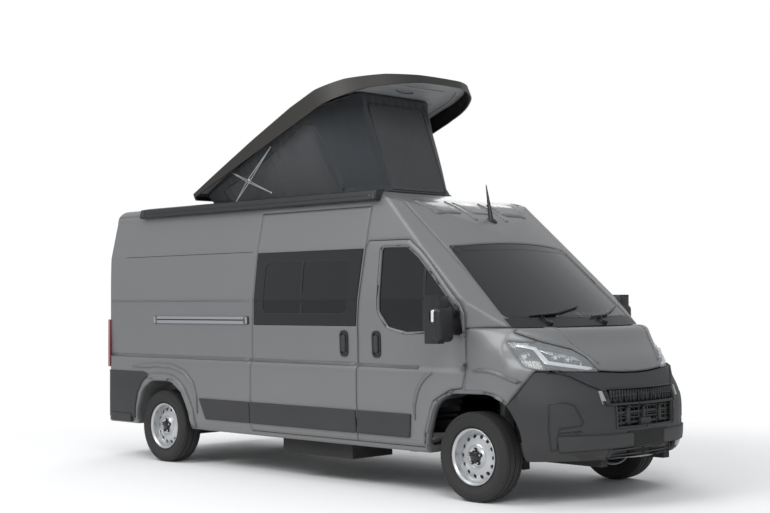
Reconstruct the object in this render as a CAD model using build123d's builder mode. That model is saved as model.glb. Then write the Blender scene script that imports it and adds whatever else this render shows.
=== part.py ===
from build123d import *
import math
import os

os.makedirs("parts", exist_ok=True)

# A camper van with a raised wedge roof.  Millimetres, +X forward, +Y to the van's left, +Z up.
# The origin lies on the floor, below the middle of the van.

# ---- driving dimensions ---------------------------------------------------------------------
wheelbase = 4035
front_overhang = 948
rear_overhang = 1015
body_half_width = 1025
roof_z = 2524
sill_z = 345
wall = 55            # thickness of a door or a wall
nose_wall = 28       # bonnet, wing and bumper skins
panel_gap = 6        # shut line between two panels
fit_gap = 0.3        # between a fixed piece and its seat
rear_middle_gap = 14  # between the two rear doors, whose inner corners swing past each other
glass = 6
front_track = 1810
rear_track = 1790
tyre_radius = 348
tyre_width = 215
rim_radius = 208     # bead seat
stub_radius = 30
running = 0.05       # radial clearance of a turning fit

overall_length = front_overhang + wheelbase + rear_overhang
front_axle_x = overall_length / 2 - front_overhang
rear_axle_x = front_axle_x - wheelbase
rear_face_x = -overall_length / 2


def fx(distance):
    """A place along the van, measured forward of the front axle."""
    return front_axle_x + distance


# Half of the body's cross-section: half width, height.
body_section = [
    (975, 345), (1002, 420), (1019, 700), (1025, 950), (1025, 990), (1004, 1030), (1006, 1100),
    (1014, 1360), (1018, 1573), (975, 2000), (915, 2370),
]
roof_edge_mid = (888, 2454)
roof_edge_top = (805, 2497)

# The side outline of cab and load space, measured forward of the front axle.
rear_bumper_depth = 28
rear_wall_x = rear_bumper_depth - wheelbase - rear_overhang
rear_top_x = rear_wall_x + 87
rear_top_z = 2395
roof_rear_x = rear_wall_x + 182
roof_front_x = -1600
roof_bend_mid = (-985, 2413)
screen_top = (-400, 2062)
screen_base = (343, 1418)
cowl_front = (419, 1352)
cowl_z = 1346
nose_top_z = 1339
bulkhead_x = -56
screen_bow_radius = 3300


# ---- body envelope --------------------------------------------------------------------------
def section_prism(inset, x_low, x_high):
    """The cross-section of the body, drawn in by inset, from x_low to x_high."""
    rows = [(half_width - inset, max(z, sill_z + inset)) for half_width, z in body_section
            if not (inset and 930 < z < 1010)]
    edge_mid = (roof_edge_mid[0] - 0.75 * inset, roof_edge_mid[1] - 0.66 * inset)
    edge_top = (roof_edge_top[0] - 0.25 * inset, roof_edge_top[1] - 0.97 * inset)
    other = [(-half_width, z) for half_width, z in rows]
    with BuildPart() as prism:
        with BuildSketch(Plane.YZ.offset(x_low)):
            with BuildLine():
                Polyline(*rows)
                ThreePointArc(rows[-1], edge_mid, edge_top)
                ThreePointArc(edge_top, (0, roof_z - inset), (-edge_top[0], edge_top[1]))
                ThreePointArc((-edge_top[0], edge_top[1]), (-edge_mid[0], edge_mid[1]), other[-1])
                Polyline(*reversed(other))
                Line(other[0], rows[0])
            make_face()
        extrude(amount=x_high - x_low)
    return prism.part


def profile_prism(inset):
    """The side outline of cab and load space, drawn in by inset, across the whole width."""
    with BuildPart() as prism:
        with BuildSketch(Plane.XZ):
            with BuildLine():
                Polyline(
                    (fx(bulkhead_x), sill_z), (fx(rear_wall_x), sill_z), (fx(rear_wall_x), 1500),
                    (fx(rear_top_x), rear_top_z))
                ThreePointArc((fx(rear_top_x), rear_top_z),
                              (fx(rear_top_x) + 28, rear_top_z + 92), (fx(roof_rear_x), roof_z + 1))
                Line((fx(roof_rear_x), roof_z + 1), (fx(roof_front_x), roof_z + 1))
                ThreePointArc((fx(roof_front_x), roof_z + 1),
                              (fx(roof_bend_mid[0]), roof_bend_mid[1]),
                              (fx(screen_top[0]), screen_top[1]))
                Polyline((fx(screen_top[0]), screen_top[1]), (fx(screen_base[0]), screen_base[1]),
                         (fx(cowl_front[0]), cowl_front[1]), (fx(cowl_front[0]), cowl_z),
                         (fx(bulkhead_x), cowl_z), (fx(bulkhead_x), sill_z))
            make_face()
            if inset:
                offset(amount=-inset, kind=Kind.INTERSECTION)
        extrude(amount=body_half_width + 200, both=True)
    return prism.part


def plan_prism(inset):
    """The outline from above: rounded rear corners and a bowed cab front."""
    corner = 190
    half = body_half_width + 10
    with BuildPart() as prism:
        with BuildSketch(Plane.XY.offset(sill_z - 50)):
            with BuildLine():
                Polyline((fx(rear_wall_x), 0), (fx(rear_wall_x), half - corner))
                ThreePointArc((fx(rear_wall_x), half - corner),
                              (fx(rear_wall_x) + corner * 0.293, half - corner * 0.293),
                              (fx(rear_wall_x) + corner, half))
                Polyline((fx(rear_wall_x) + corner, half), (fx(bulkhead_x - 42), half), (fx(500), 719),
                         (fx(500), 0), (fx(rear_wall_x), 0))
            make_face()
            mirror(about=Plane.XZ)
            if inset:
                offset(amount=-inset, kind=Kind.INTERSECTION)
        extrude(amount=roof_z)
    return prism.part


slope = math.atan2(screen_top[1] - screen_base[1], screen_base[0] - screen_top[0])


def screen_prism(inset):
    """Everything behind the bowed surface that the windscreen lies in."""
    middle = Plane(origin=(fx(screen_base[0]), 0, screen_base[1]), x_dir=(0, 1, 0),
                   z_dir=(math.cos(slope), 0, -math.sin(slope)))
    reach = 1150
    bow = screen_bow_radius - math.sqrt(screen_bow_radius ** 2 - reach ** 2)
    # In this plane local x is across the van, local y points out of or into the cab.
    outward = 1 if middle.y_dir.Z > 0 else -1
    with BuildPart() as prism:
        with BuildSketch(middle):
            with BuildLine():
                ThreePointArc((-reach, outward * (-bow - inset)), (0, -outward * inset),
                              (reach, outward * (-bow - inset)))
                Polyline((reach, outward * (-bow - inset)), (reach, -outward * 6000),
                         (-reach, -outward * 6000), (-reach, outward * (-bow - inset)))
            make_face()
        extrude(amount=9000, both=True)
    return prism.part


def envelope(inset):
    """The whole closed body of cab and load space, drawn in by inset."""
    shape = profile_prism(inset) & section_prism(inset, fx(-5200), fx(600))
    shape = shape & plan_prism(inset)
    return shape & screen_prism(inset)


# ---- nose: bumper below, wings and bonnet above ---------------------------------------------
# z, foremost x, length of the rounded corner, half width behind the corner, half width at the bulkhead
bonnet_rows = [
    (735, 815, 470, 1016, 1020), (850, 822, 470, 1017, 1022), (960, 824, 470, 1014, 1021),
    (1060, 810, 470, 1005, 1010),
    (1150, 745, 450, 990, 1006), (1250, 662, 380, 950, 1008), (nose_top_z, 470, 250, 850, 1012),
]
bumper_rows = [
    (sill_z, 902, 430, 968, 975), (430, 938, 440, 1001, 1003), (600, 948, 450, 1013, 1015),
    (760, 938, 450, 1019, 1021), (880, 893, 455, 1021, 1023), (1010, 836, 460, 1017, 1019),
]


def nose_section(z, front, corner, half_width, back_half_width, inset):
    """One outline of the nose from above, closed behind at the bulkhead."""
    scale = half_width / 1010
    front = fx(front) - inset
    side = half_width - inset
    crown = (front - 0.15 * corner, 500 * scale - 0.3 * inset)
    mid = (front - 0.46 * corner, 765 * scale - 0.7 * inset)
    end = (front - corner, side)
    back = (fx(bulkhead_x) + fit_gap - inset, back_half_width - inset)
    with BuildSketch(Plane.XY.offset(z)) as outline:
        with BuildLine():
            ThreePointArc((crown[0], -crown[1]), (front, 0), crown)
            ThreePointArc(crown, mid, end)
            Line(end, back)
            Line(back, (back[0], -back[1]))
            Line((back[0], -back[1]), (end[0], -end[1]))
            ThreePointArc((end[0], -end[1]), (mid[0], -mid[1]), (crown[0], -crown[1]))
        make_face()
    return outline.sketch


def nose_solid(rows, inset, open_top=False):
    """The nose between the first and the last row, its skin drawn in by inset."""
    with BuildPart() as solid:
        for z, front, corner, half_width, back_half_width in rows:
            height = z
            if z == rows[-1][0]:
                height = z + nose_wall if open_top else z - inset
            if z == rows[0][0] and inset:
                height = z - 30
            add(nose_section(height, front, corner, half_width, back_half_width, inset))
        loft()
    return solid.part


def cut_prism(points, y_low, y_high):
    """A side-view outline, given forward of the front axle, extruded from y_low to y_high."""
    with BuildPart() as prism:
        with BuildSketch(Plane.XZ.offset(-y_low)):
            with BuildLine():
                Polyline(*[(fx(x), z) for x, z in points], close=True)
            make_face()
        extrude(amount=-(y_high - y_low))
    return prism.part


def rounded_prism(points, radius, y_low, y_high):
    """The same with every corner rounded."""
    with BuildPart() as prism:
        with BuildSketch(Plane.XZ.offset(-y_low)):
            with BuildLine():
                FilletPolyline(*[(fx(x), z) for x, z in points], radius=radius, close=True)
            make_face()
        extrude(amount=-(y_high - y_low))
    return prism.part


def grown(points, margin):
    """A convex outline's points moved away from its middle by about margin."""
    middle_x = sum(x for x, z in points) / len(points)
    middle_z = sum(z for x, z in points) / len(points)
    moved = []
    for x, z in points:
        reach = math.hypot(x - middle_x, z - middle_z)
        moved.append((x + (x - middle_x) * margin / reach, z + (z - middle_z) * margin / reach))
    return moved


def mirrored(shape):
    """The same shape on the other side of the van."""
    return mirror(shape, about=Plane.XZ)


def keep(shape, name):
    """Label a piece and write it."""
    shape.label = name
    export_step(shape, f"parts/{name}.step")
    pieces[name] = shape


pieces = {}

# ---- outlines seen from the side, forward of the front axle ---------------------------------
arch_low = -150
arch_round = 240
front_arch = [(-476, arch_low), (-474, 470), (-372, 748), (-205, 832), (195, 838), (372, 758), (494, 560),
              (502, arch_low)]
rear_arch_from_axle = [(-452, arch_low), (-440, 480), (-330, 700), (-170, 790), (150, 790), (320, 705),
                       (438, 480), (452, arch_low)]
rear_arch = [(x - wheelbase, z) for x, z in rear_arch_from_axle]
front_door_outline = [
    (-1277, 388), (-1259, 1400), (-1197, 2000), (-1170, 2062), (-700, 2058), (-560, 1968), (-415, 1838),
    (-225, 1650), (-108, 1540), (-62, 1450), (-59, 1000), (-85, 872), (-215, 855), (-400, 760), (-505, 490),
    (-508, 388),
]
sliding_door_outline = [(-1283, 388), (-1265, 1400), (-1203, 2000), (-1185, 2355), (-2605, 2355),
                        (-2620, 2030), (-2640, 1500), (-2678, 570), (-2678, 388)]
front_glass_outline = [
    (-1010, 2000), (-1010, 1470), (-905, 1345), (-700, 1305), (-150, 1330), (-130, 1470), (-250, 1592),
    (-430, 1765), (-575, 1900), (-715, 1996),
]
side_pane_outline = [(-2628, 1346), (-2612, 2000), (-1222, 2000), (-1282, 1346)]
side_opening_outline = [(-2550, 1410), (-2550, 1940), (-1330, 1940), (-1345, 1410)]
door_inner_y = 790       # door prisms stop short of the floor and roof here
arch_depth_y = 540       # the front wheel housings reach in to here, for the turned wheels
rear_arch_depth_y = 690
housing_skin = 12

outer_body = envelope(0)
inner_body = envelope(wall)
long_low = fx(-5200)
long_high = fx(600)
body_section_solid = section_prism(0, long_low, long_high)
door_section_solid = section_prism(wall, long_low, long_high)
door_layer = outer_body - door_section_solid
door_cut_layer = (section_prism(-20, long_low, long_high)
                  - section_prism(wall + panel_gap, long_low, long_high))

# ---- roof opening and rear door aperture ----------------------------------------------------
roof_opening_rear = -3640
roof_opening_front = -1720
roof_opening_half_width = 520
rear_door_half_width = 812
rear_door_low = 452
rear_door_high = 2352
rear_layer_x = fx(rear_wall_x) + wall


def box_between(low, high):
    """A box given by its lowest and highest corners."""
    with BuildPart() as block:
        with Locations([((low[0] + high[0]) / 2, (low[1] + high[1]) / 2, (low[2] + high[2]) / 2)]):
            Box(high[0] - low[0], high[1] - low[1], high[2] - low[2])
    return block.part


def rear_door_prism(margin, inner):
    """Both rear doors' outline seen from behind, grown by margin, from behind the van forward by inner."""
    with BuildPart() as prism:
        with BuildSketch(Plane.YZ.offset(fx(rear_wall_x) - 100)):
            with Locations([(0, (rear_door_low + rear_door_high) / 2)]):
                RectangleRounded(2 * (rear_door_half_width + margin),
                                 rear_door_high - rear_door_low + 2 * margin, 70)
        extrude(amount=100 + inner)
    return prism.part


rear_layer = outer_body - profile_prism(wall)
rear_cut_layer = profile_prism(-20) - profile_prism(wall + panel_gap)

# ---- nose skin and its parting lines --------------------------------------------------------
nose_outer = nose_solid(bonnet_rows, 0)
nose_skin = nose_outer - nose_solid(bonnet_rows, nose_wall)
bumper_inner = nose_solid(bumper_rows, nose_wall, open_top=True)
bumper_skin = nose_solid(bumper_rows, 0) - bumper_inner

# Parting lines seen square on to the front right corner: across, height.
corner_plane = Plane(origin=(front_axle_x, 0, 0), x_dir=(1, 1, 0), z_dir=(1, -1, 0))
bonnet_line = [(-600, 1334), (-420, 1318), (-181, 1234), (56, 1174), (164, 1109), (250, 1012), (450, 996),
               (900, 985)]
bumper_line = [(-900, 742), (-470, 757), (-388, 850), (-246, 1022), (0, 1014), (250, 1006), (450, 990),
               (900, 979)]
lamp_outline = [(-453, 1240), (-250, 1226), (-181, 1262), (56, 1210), (200, 1130), (300, 1040), (300, 960),
                (-150, 990), (-225, 1027), (-332, 1059)]


def corner_prism(points, margin=0):
    """A closed outline on the corner plane, grown by margin, through the right half of the nose."""
    with BuildPart() as prism:
        with BuildSketch(corner_plane):
            with BuildLine():
                Polyline(*points, close=True)
            make_face()
            if margin:
                offset(amount=margin, kind=Kind.INTERSECTION)
        extrude(amount=1700, both=True)
        with Locations([(front_axle_x, 3000, 1000)]):
            Box(8000, 6000, 4000, mode=Mode.SUBTRACT)
    return prism.part


def both_sides(shape):
    """A right-hand shape with its mirror image."""
    return shape + mirror(shape, about=Plane.XZ)


half_gap = panel_gap / 2
above_bonnet_line = both_sides(corner_prism(
    [(s, z + half_gap) for s, z in bonnet_line] + [(900, 1600), (-900, 1600), (-900, 1332)]))
above_bonnet_line_wide = both_sides(corner_prism(
    [(s, z - half_gap) for s, z in bonnet_line] + [(900, 1600), (-900, 1600), (-900, 1332)]))
below_bumper_line = both_sides(corner_prism(
    [(s, z - half_gap) for s, z in bumper_line] + [(900, 100), (-900, 100)]))
below_bumper_line_wide = both_sides(corner_prism(
    [(s, z + half_gap) for s, z in bumper_line] + [(900, 100), (-900, 100)]))
lamp_prism_right = corner_prism(lamp_outline)
front_arch_cut = rounded_prism(front_arch, arch_round, -1200, 1200)

# ---- hinges: axis places and the heights of each hinge ---------------------------------------
hinge_pin_radius = 5
hinge_sleeve_radius = 8
hinge_half = 24
leaf_thickness = 3.4
door_hinge_x = fx(bulkhead_x - 3)
door_hinge_y = 1036
door_hinge_heights = (1045, 1300)
rear_hinge_x = fx(rear_wall_x) - 14
rear_hinge_y = rear_door_half_width + half_gap
rear_hinge_heights = (640, 1300, 2080)
bonnet_hinge_x = fx(296)
bonnet_hinge_z = 1330
bonnet_pin_radius = 6
bonnet_arm_inner = 616
bonnet_arm_outer = 636
# The bonnet arm's outline from the side, forward of and above the hinge axis.
bonnet_arm_outline = [(-11, 10), (-14, -14), (28, -64), (120, -64), (132, -8), (86, -8), (80, -38),
                      (48, -38), (13, 6)]

# ---- bonnet ---------------------------------------------------------------------------------
bonnet_rear_x = 330
bonnet_rear_middle_x = 430


def level_arc_prism(side_x, middle_x, back_x):
    """The room behind an arc across the van, seen from above, from under to over the nose."""
    with BuildPart() as prism:
        with BuildSketch(Plane.XY.offset(900)):
            with BuildLine():
                ThreePointArc((fx(side_x), -830), (fx(middle_x), 0), (fx(side_x), 830))
                Polyline((fx(side_x), 830), (fx(side_x), 1100), (fx(back_x), 1100),
                         (fx(back_x), -1100), (fx(side_x), -1100), (fx(side_x), -830))
            make_face()
        extrude(amount=600)
    return prism.part


behind_bonnet = level_arc_prism(bonnet_rear_x, bonnet_rear_middle_x, -300)
behind_bonnet_less = level_arc_prism(bonnet_rear_x - panel_gap, bonnet_rear_middle_x - panel_gap, -300)

with BuildPart() as bonnet:
    add(nose_skin)
    add(above_bonnet_line, mode=Mode.INTERSECT)
    add(behind_bonnet, mode=Mode.SUBTRACT)
    for side in (-1, 1):
        arm_start = side * bonnet_arm_inner
        with BuildSketch(Plane.XZ.offset(-arm_start)):
            with BuildLine():
                Polyline(*[(bonnet_hinge_x + x, bonnet_hinge_z + z) for x, z in bonnet_arm_outline],
                         close=True)
            make_face()
        extrude(amount=-side * (bonnet_arm_outer - bonnet_arm_inner))
    for side in (-1, 1):
        with Locations([(bonnet_hinge_x, side * (bonnet_arm_inner + bonnet_arm_outer) / 2, bonnet_hinge_z)]):
            Cylinder(bonnet_pin_radius + running, 60, rotation=(90, 0, 0), mode=Mode.SUBTRACT)
keep(bonnet.part, "bonnet")

# ---- front bumper with its grille and intake openings ---------------------------------------
# name of the opening, half width, low z, high z
bumper_openings = [("upper grille", 425, 768, 872), ("lower grille", 362, 590, 748),
                   ("intake", 415, 352, 428)]
with BuildPart() as front_bumper:
    add(bumper_skin)
    add(below_bumper_line, mode=Mode.INTERSECT)
    add(front_arch_cut, mode=Mode.SUBTRACT)
    for name, half_width, low, high in bumper_openings:
        with Locations([(fx(900), 0, (low + high) / 2)]):
            Box(500, 2 * half_width, high - low, mode=Mode.SUBTRACT)
keep(front_bumper.part, "front_bumper")

# ---- body shell -----------------------------------------------------------------------------
pillar_front = -1335
pillar_rear = -1215
b_pillar_depth = 50
side_tall = rounded_prism(side_opening_outline, 60, 0, 1300)
pane_layer_depth = 9

pane_layer = section_prism(-20, long_low, long_high) - section_prism(pane_layer_depth, long_low, long_high)

screen_up = Plane(origin=(fx(screen_base[0]), 0, screen_base[1]), x_dir=(0, 1, 0),
                  z_dir=(math.sin(slope), 0, math.cos(slope)))
if screen_up.y_dir.Z < 0:
    screen_up = Plane(origin=screen_up.origin, x_dir=(0, -1, 0), z_dir=screen_up.z_dir)


def screen_outline_prism(margin):
    """The windscreen's outline, grown by margin, square to the glass."""
    with BuildPart() as prism:
        with BuildSketch(screen_up) as outline:
            with BuildLine():
                low = 118 - margin
                high = 985 + margin
                ThreePointArc((-822 - margin, low), (0, 22 - margin), (822 + margin, low))
                Line((822 + margin, low), (752 + margin, high))
                ThreePointArc((752 + margin, high), (0, 950 + margin), (-752 - margin, high))
                Line((-752 - margin, high), (-822 - margin, low))
            make_face()
            fillet(outline.vertices(), radius=70)
        extrude(amount=420, both=True)
    return prism.part


screen_seal = 6      # the scuttle reaches this far up, to the windscreen's lower edge


def scuttle_outline_prism(margin):
    """The dark panel's outline below the windscreen, grown by margin, square to the glass."""
    with BuildPart() as prism:
        with BuildSketch(screen_up):
            with BuildLine():
                high = 112 + margin
                ThreePointArc((-824 - margin, high), (0, 16 + margin), (824 + margin, high))
                Polyline((824 + margin, high), (824 + margin, -400), (-824 - margin, -400),
                         (-824 - margin, high))
            make_face()
        extrude(amount=150, both=True)
    return prism.part


with BuildPart() as b_posts:
    add(section_prism(wall - 5, long_low, long_high))
    add(section_prism(wall + b_pillar_depth, long_low, long_high), mode=Mode.SUBTRACT)
    with Locations([(fx((pillar_front + pillar_rear) / 2), 0, roof_z / 2)]):
        Box(pillar_rear - pillar_front, 3000, roof_z, mode=Mode.INTERSECT)
        Box(pillar_rear - pillar_front + 10, 2 * door_inner_y, roof_z + 10, mode=Mode.SUBTRACT)

with BuildPart() as rear_housing_left:
    add(rounded_prism(grown(rear_arch, housing_skin), arch_round + housing_skin,
                      rear_arch_depth_y - housing_skin, body_half_width))
    add(outer_body, mode=Mode.INTERSECT)

bonnet_cut = above_bonnet_line_wide - behind_bonnet_less
cowl_middle = box_between((fx(bulkhead_x - 20), -700, 1200), (fx(700), 700, 1400))

with BuildPart() as front_wing_right:
    add(nose_skin)
    add(bonnet_cut, mode=Mode.SUBTRACT)
    add(cowl_middle, mode=Mode.SUBTRACT)
    add(below_bumper_line_wide, mode=Mode.SUBTRACT)
    add(lamp_prism_right, mode=Mode.SUBTRACT)
    add(front_arch_cut, mode=Mode.SUBTRACT)
    with Locations([(front_axle_x, 2000, 1000)]):
        Box(4000, 4000, 3000, mode=Mode.SUBTRACT)
    with Locations([(fx(1000), 0, 1000)]):
        Box(800, 3000, 2000, mode=Mode.SUBTRACT)
keep(front_wing_right.part, "front_wing_right")
keep(mirrored(front_wing_right.part), "front_wing_left")

with BuildPart() as front_door_opening:
    add(cut_prism(grown(front_door_outline, half_gap), -1300, -door_inner_y))
    add(door_cut_layer, mode=Mode.INTERSECT)

with BuildPart() as sliding_door_opening:
    add(cut_prism(grown(sliding_door_outline, half_gap), -1300, -door_inner_y))
    add(door_cut_layer, mode=Mode.INTERSECT)

with BuildPart() as rear_door_opening:
    add(rear_door_prism(panel_gap, 2 * wall + 90))
    add(rear_cut_layer, mode=Mode.INTERSECT)

with BuildPart() as left_pane_recess:
    add(cut_prism(side_pane_outline, 0, 1300))
    add(pane_layer, mode=Mode.INTERSECT)


def upright_pin(x, y, z, radius, height):
    """An upright round pin that starts at height z."""
    with BuildPart() as pin:
        with Locations([(x, y, z + height / 2)]):
            Cylinder(radius, height)
    return pin.part


lid_lug_inner = 484
lid_lug_thick = 16
lid_hinge_x = fx(-3810)
lid_hinge_z = 2550
lid_open_deg = 25
lid_pin_radius = 8
lid_bracket_y = 480
strut_y = 800
strut_thick = 8
strut_foot_x = fx(-3132)
strut_foot_z = 2515
strut_pin_radius = 5
tow_eye_y = -560
tow_eye_z = 415
tow_eye_radius = 12
tow_eye_access = 20
with BuildPart() as roof_brackets_right:
    add(box_between((lid_hinge_x - 22, -lid_bracket_y, 2480),
                    (lid_hinge_x + 22, -lid_bracket_y + 14, lid_hinge_z + 14)))
    with Locations([(lid_hinge_x, -lid_bracket_y - 10, lid_hinge_z)]):
        Cylinder(lid_pin_radius, 48, rotation=(90, 0, 0))
    add(box_between((strut_foot_x - 16, -strut_y + 6, 2470),
                    (strut_foot_x + 16, -strut_y + 14, strut_foot_z + 10)))
    with Locations([(strut_foot_x, -strut_y + 5, strut_foot_z)]):
        Cylinder(strut_pin_radius, 18, rotation=(90, 0, 0))

leaf_inner_y = 935
rear_leaf_outer_y = 832
rear_leaf_reach = 100
with BuildPart() as body_hinges_right:
    for z in door_hinge_heights:
        with Locations([(door_hinge_x - 0.2, -(leaf_inner_y + door_hinge_y) / 2, z + hinge_half / 2)]):
            Box(leaf_thickness, door_hinge_y - leaf_inner_y, hinge_half)
        add(upright_pin(door_hinge_x, -door_hinge_y, z - hinge_half, hinge_pin_radius, 2 * hinge_half))
    for z in rear_hinge_heights:
        add(box_between((rear_hinge_x, -rear_leaf_outer_y, z),
                        (fx(rear_wall_x) + rear_leaf_reach, -rear_hinge_y + 1.3, z + hinge_half)))
        add(upright_pin(rear_hinge_x, -rear_hinge_y, z - hinge_half, hinge_pin_radius, 2 * hinge_half))

jack_pad = (80, 60, 10)
jack_pad_y = 900
jack_pad_places = (-700, -3400)
with BuildPart() as body_shell:
    add(outer_body)
    add(inner_body, mode=Mode.SUBTRACT)
    add(b_posts.part)
    add(rear_housing_left.part)
    add(mirrored(rear_housing_left.part))
    for outline, depth_y in ((rear_arch, rear_arch_depth_y), (front_arch, arch_depth_y)):
        arch = rounded_prism(outline, arch_round, depth_y, body_half_width + 200)
        add(arch, mode=Mode.SUBTRACT)
        add(mirrored(arch), mode=Mode.SUBTRACT)
    add(front_door_opening.part, mode=Mode.SUBTRACT)
    add(mirrored(front_door_opening.part), mode=Mode.SUBTRACT)
    add(sliding_door_opening.part, mode=Mode.SUBTRACT)
    add(rear_door_opening.part, mode=Mode.SUBTRACT)
    add(side_tall, mode=Mode.SUBTRACT)
    add(left_pane_recess.part, mode=Mode.SUBTRACT)
    add(screen_outline_prism(0), mode=Mode.SUBTRACT)
    add(scuttle_outline_prism(screen_seal), mode=Mode.SUBTRACT)
    for place in jack_pad_places:
        with Locations([(fx(place), side * jack_pad_y, sill_z - jack_pad[2] / 2 + 1) for side in (-1, 1)]):
            Box(jack_pad[0], jack_pad[1], jack_pad[2] + 2)
    add(body_hinges_right.part)
    add(mirrored(body_hinges_right.part))
    add(roof_brackets_right.part)
    add(mirrored(roof_brackets_right.part))
    with Locations([(fx(rear_wall_x), tow_eye_y, tow_eye_z)]):
        Cylinder(tow_eye_radius, 200, rotation=(0, 90, 0), mode=Mode.SUBTRACT)
    with Locations([(fx((roof_opening_rear + roof_opening_front) / 2), 0, roof_z)]):
        Box(roof_opening_front - roof_opening_rear, 2 * roof_opening_half_width, 300, mode=Mode.SUBTRACT)

# The shell is joined from four panels: floor with front wall, roof, and a side on the left and right.
roof_seam_z = 2425
side_seam_y = 788
floor_seam_z = 460
front_wall_x = fx(bulkhead_x) - wall - 14
screen_frame_z = 1700
housing_seam_y = rear_arch_depth_y - housing_skin - 8
housing_half_length = 480
housing_seam_z = 900
middle_half_y = side_seam_y - fit_gap / 2
housing_room_width = 1000
housing_rear = rear_axle_x - housing_half_length
housing_front = rear_axle_x + housing_half_length
with BuildPart() as housing_room_wide:
    for side in (-1, 1):
        middle_y = side * (housing_seam_y + housing_room_width / 2)
        with Locations([(rear_axle_x, middle_y, housing_seam_z / 2)]):
            Box(2 * (housing_half_length + fit_gap), housing_room_width + 2 * fit_gap,
                housing_seam_z + 2 * fit_gap)
with BuildPart() as floor_room:
    add(box_between((long_low, -middle_half_y, 0), (front_wall_x + 20, middle_half_y, floor_seam_z)))
    add(box_between((front_wall_x, -middle_half_y, 0), (long_high, middle_half_y, screen_frame_z)))

with BuildPart() as floor_panel:
    add(body_shell.part)
    add(floor_room.part, mode=Mode.INTERSECT)
    add(housing_room_wide.part, mode=Mode.SUBTRACT)
with BuildPart() as roof_panel:
    add(body_shell.part)
    with BuildPart(mode=Mode.PRIVATE) as roof_room:
        add(box_between((long_low, -2000, roof_seam_z), (long_high, 2000, 4000)))
        add(box_between((long_low, -middle_half_y, screen_frame_z + fit_gap),
                        (long_high, middle_half_y, 4000)))
    add(roof_room.part, mode=Mode.INTERSECT)
side_panels = {}
for name, side in (("left", 1), ("right", -1)):
    far_y = side * 2000
    with BuildPart() as side_room:
        for x_low, x_high, seam_y, z_high in (
                (long_low, long_high, side_seam_y + fit_gap / 2, roof_seam_z - fit_gap),
                (housing_rear, housing_front, housing_seam_y, housing_seam_z)):
            low_y = min(side * seam_y, far_y)
            high_y = max(side * seam_y, far_y)
            add(box_between((x_low, low_y, 0), (x_high, high_y, z_high)))
    with BuildPart() as side_panel:
        add(body_shell.part)
        add(side_room.part, mode=Mode.INTERSECT)
    side_panels[name] = side_panel.part
floor_solids = floor_panel.part.solids().sort_by(lambda solid: solid.volume)
keep(floor_solids[-1], "floor_panel")
keep(roof_panel.part, "roof_panel")
keep(side_panels["left"], "side_panel_left")
keep(side_panels["right"], "side_panel_right")

# ---- front doors ----------------------------------------------------------------------------
glass_skin = section_prism(14, long_low, long_high) - section_prism(14 + glass, long_low, long_high)
front_window_right = rounded_prism(front_glass_outline, 35, -1300, 0)

with BuildPart() as front_door_right:
    add(cut_prism(grown(front_door_outline, -half_gap), -1300, -door_inner_y))
    add(door_layer, mode=Mode.INTERSECT)
    add(front_window_right, mode=Mode.SUBTRACT)
    for z in door_hinge_heights:
        add(box_between((door_hinge_x - 30, -door_hinge_y, z - hinge_half - 0.5),
                        (door_hinge_x, -door_hinge_y + 60, z - 1.5)))
        add(upright_pin(door_hinge_x, -door_hinge_y, z - hinge_half - 0.5, hinge_sleeve_radius,
                        hinge_half - 1))
    for z in door_hinge_heights:
        add(upright_pin(door_hinge_x, -door_hinge_y, z - 60, hinge_pin_radius + running, 120),
            mode=Mode.SUBTRACT)
keep(front_door_right.part, "front_door_right")

with BuildPart() as front_door_glass_right:
    add(rounded_prism(grown(front_glass_outline, -fit_gap), 35, -1300, 0))
    add(glass_skin, mode=Mode.INTERSECT)
keep(front_door_glass_right.part, "front_door_glass_right")

# ---- door mirrors: a foot on the door, an arm and a tall housing ----------------------------
mirror_foot_x = -135
mirror_z = 1415
mirror_reach = 1288
housing_low = 1226
housing_high = 1600
mirror_inner = mirror_reach - 140
housing_rear_x = -240
housing_front_x = -112
with BuildPart() as mirror_right:
    with BuildSketch(Plane.XY.offset(housing_low)):
        with BuildLine():
            FilletPolyline((fx(housing_rear_x), -mirror_inner), (fx(housing_rear_x + 40), -mirror_inner),
                           (fx(housing_front_x - 13), -mirror_inner - 28),
                           (fx(housing_front_x), -mirror_reach + 20),
                           (fx(housing_front_x - 48), -mirror_reach), (fx(housing_rear_x), -mirror_reach),
                           radius=14, close=True)
        make_face()
    extrude(amount=housing_high - housing_low)
    for arm_z in (mirror_z - 95, mirror_z + 30):
        with Locations([(fx(mirror_foot_x - 25), -(1014 + mirror_inner + 20) / 2, arm_z)]):
            Box(50, mirror_inner + 20 - 1014, 42)
    with Locations([(fx(mirror_foot_x), -1014, mirror_z - 32)]):
        Box(64, 38, 190)
    add(body_section_solid, mode=Mode.SUBTRACT)
keep(mirror_right.part, "mirror_right")

# ---- sliding door and its flush pane --------------------------------------------------------
side_opening_right = rounded_prism(side_opening_outline, 60, -1300, 0)
with BuildPart() as right_pane_recess:
    add(cut_prism(side_pane_outline, -1300, 0))
    add(pane_layer, mode=Mode.INTERSECT)

with BuildPart() as sliding_door:
    add(cut_prism(grown(sliding_door_outline, -half_gap), -1300, -door_inner_y))
    add(door_layer, mode=Mode.INTERSECT)
    add(side_opening_right, mode=Mode.SUBTRACT)
    add(right_pane_recess.part, mode=Mode.SUBTRACT)
    with Locations([(fx(-1500), -929, 393), (fx(-2450), -929, 393)]):
        Box(90, 36, 9)
    add(section_prism(wall + panel_gap - fit_gap, long_low, long_high), mode=Mode.SUBTRACT)
keep(sliding_door.part, "sliding_door")

with BuildPart() as sliding_door_window:
    add(cut_prism(grown(side_pane_outline, -4), -1300, 0))
    add(body_section_solid, mode=Mode.INTERSECT)
    add(section_prism(pane_layer_depth - fit_gap, long_low, long_high), mode=Mode.SUBTRACT)
keep(sliding_door_window.part, "sliding_door_window")
keep(mirrored(sliding_door_window.part), "side_window_left")

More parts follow.
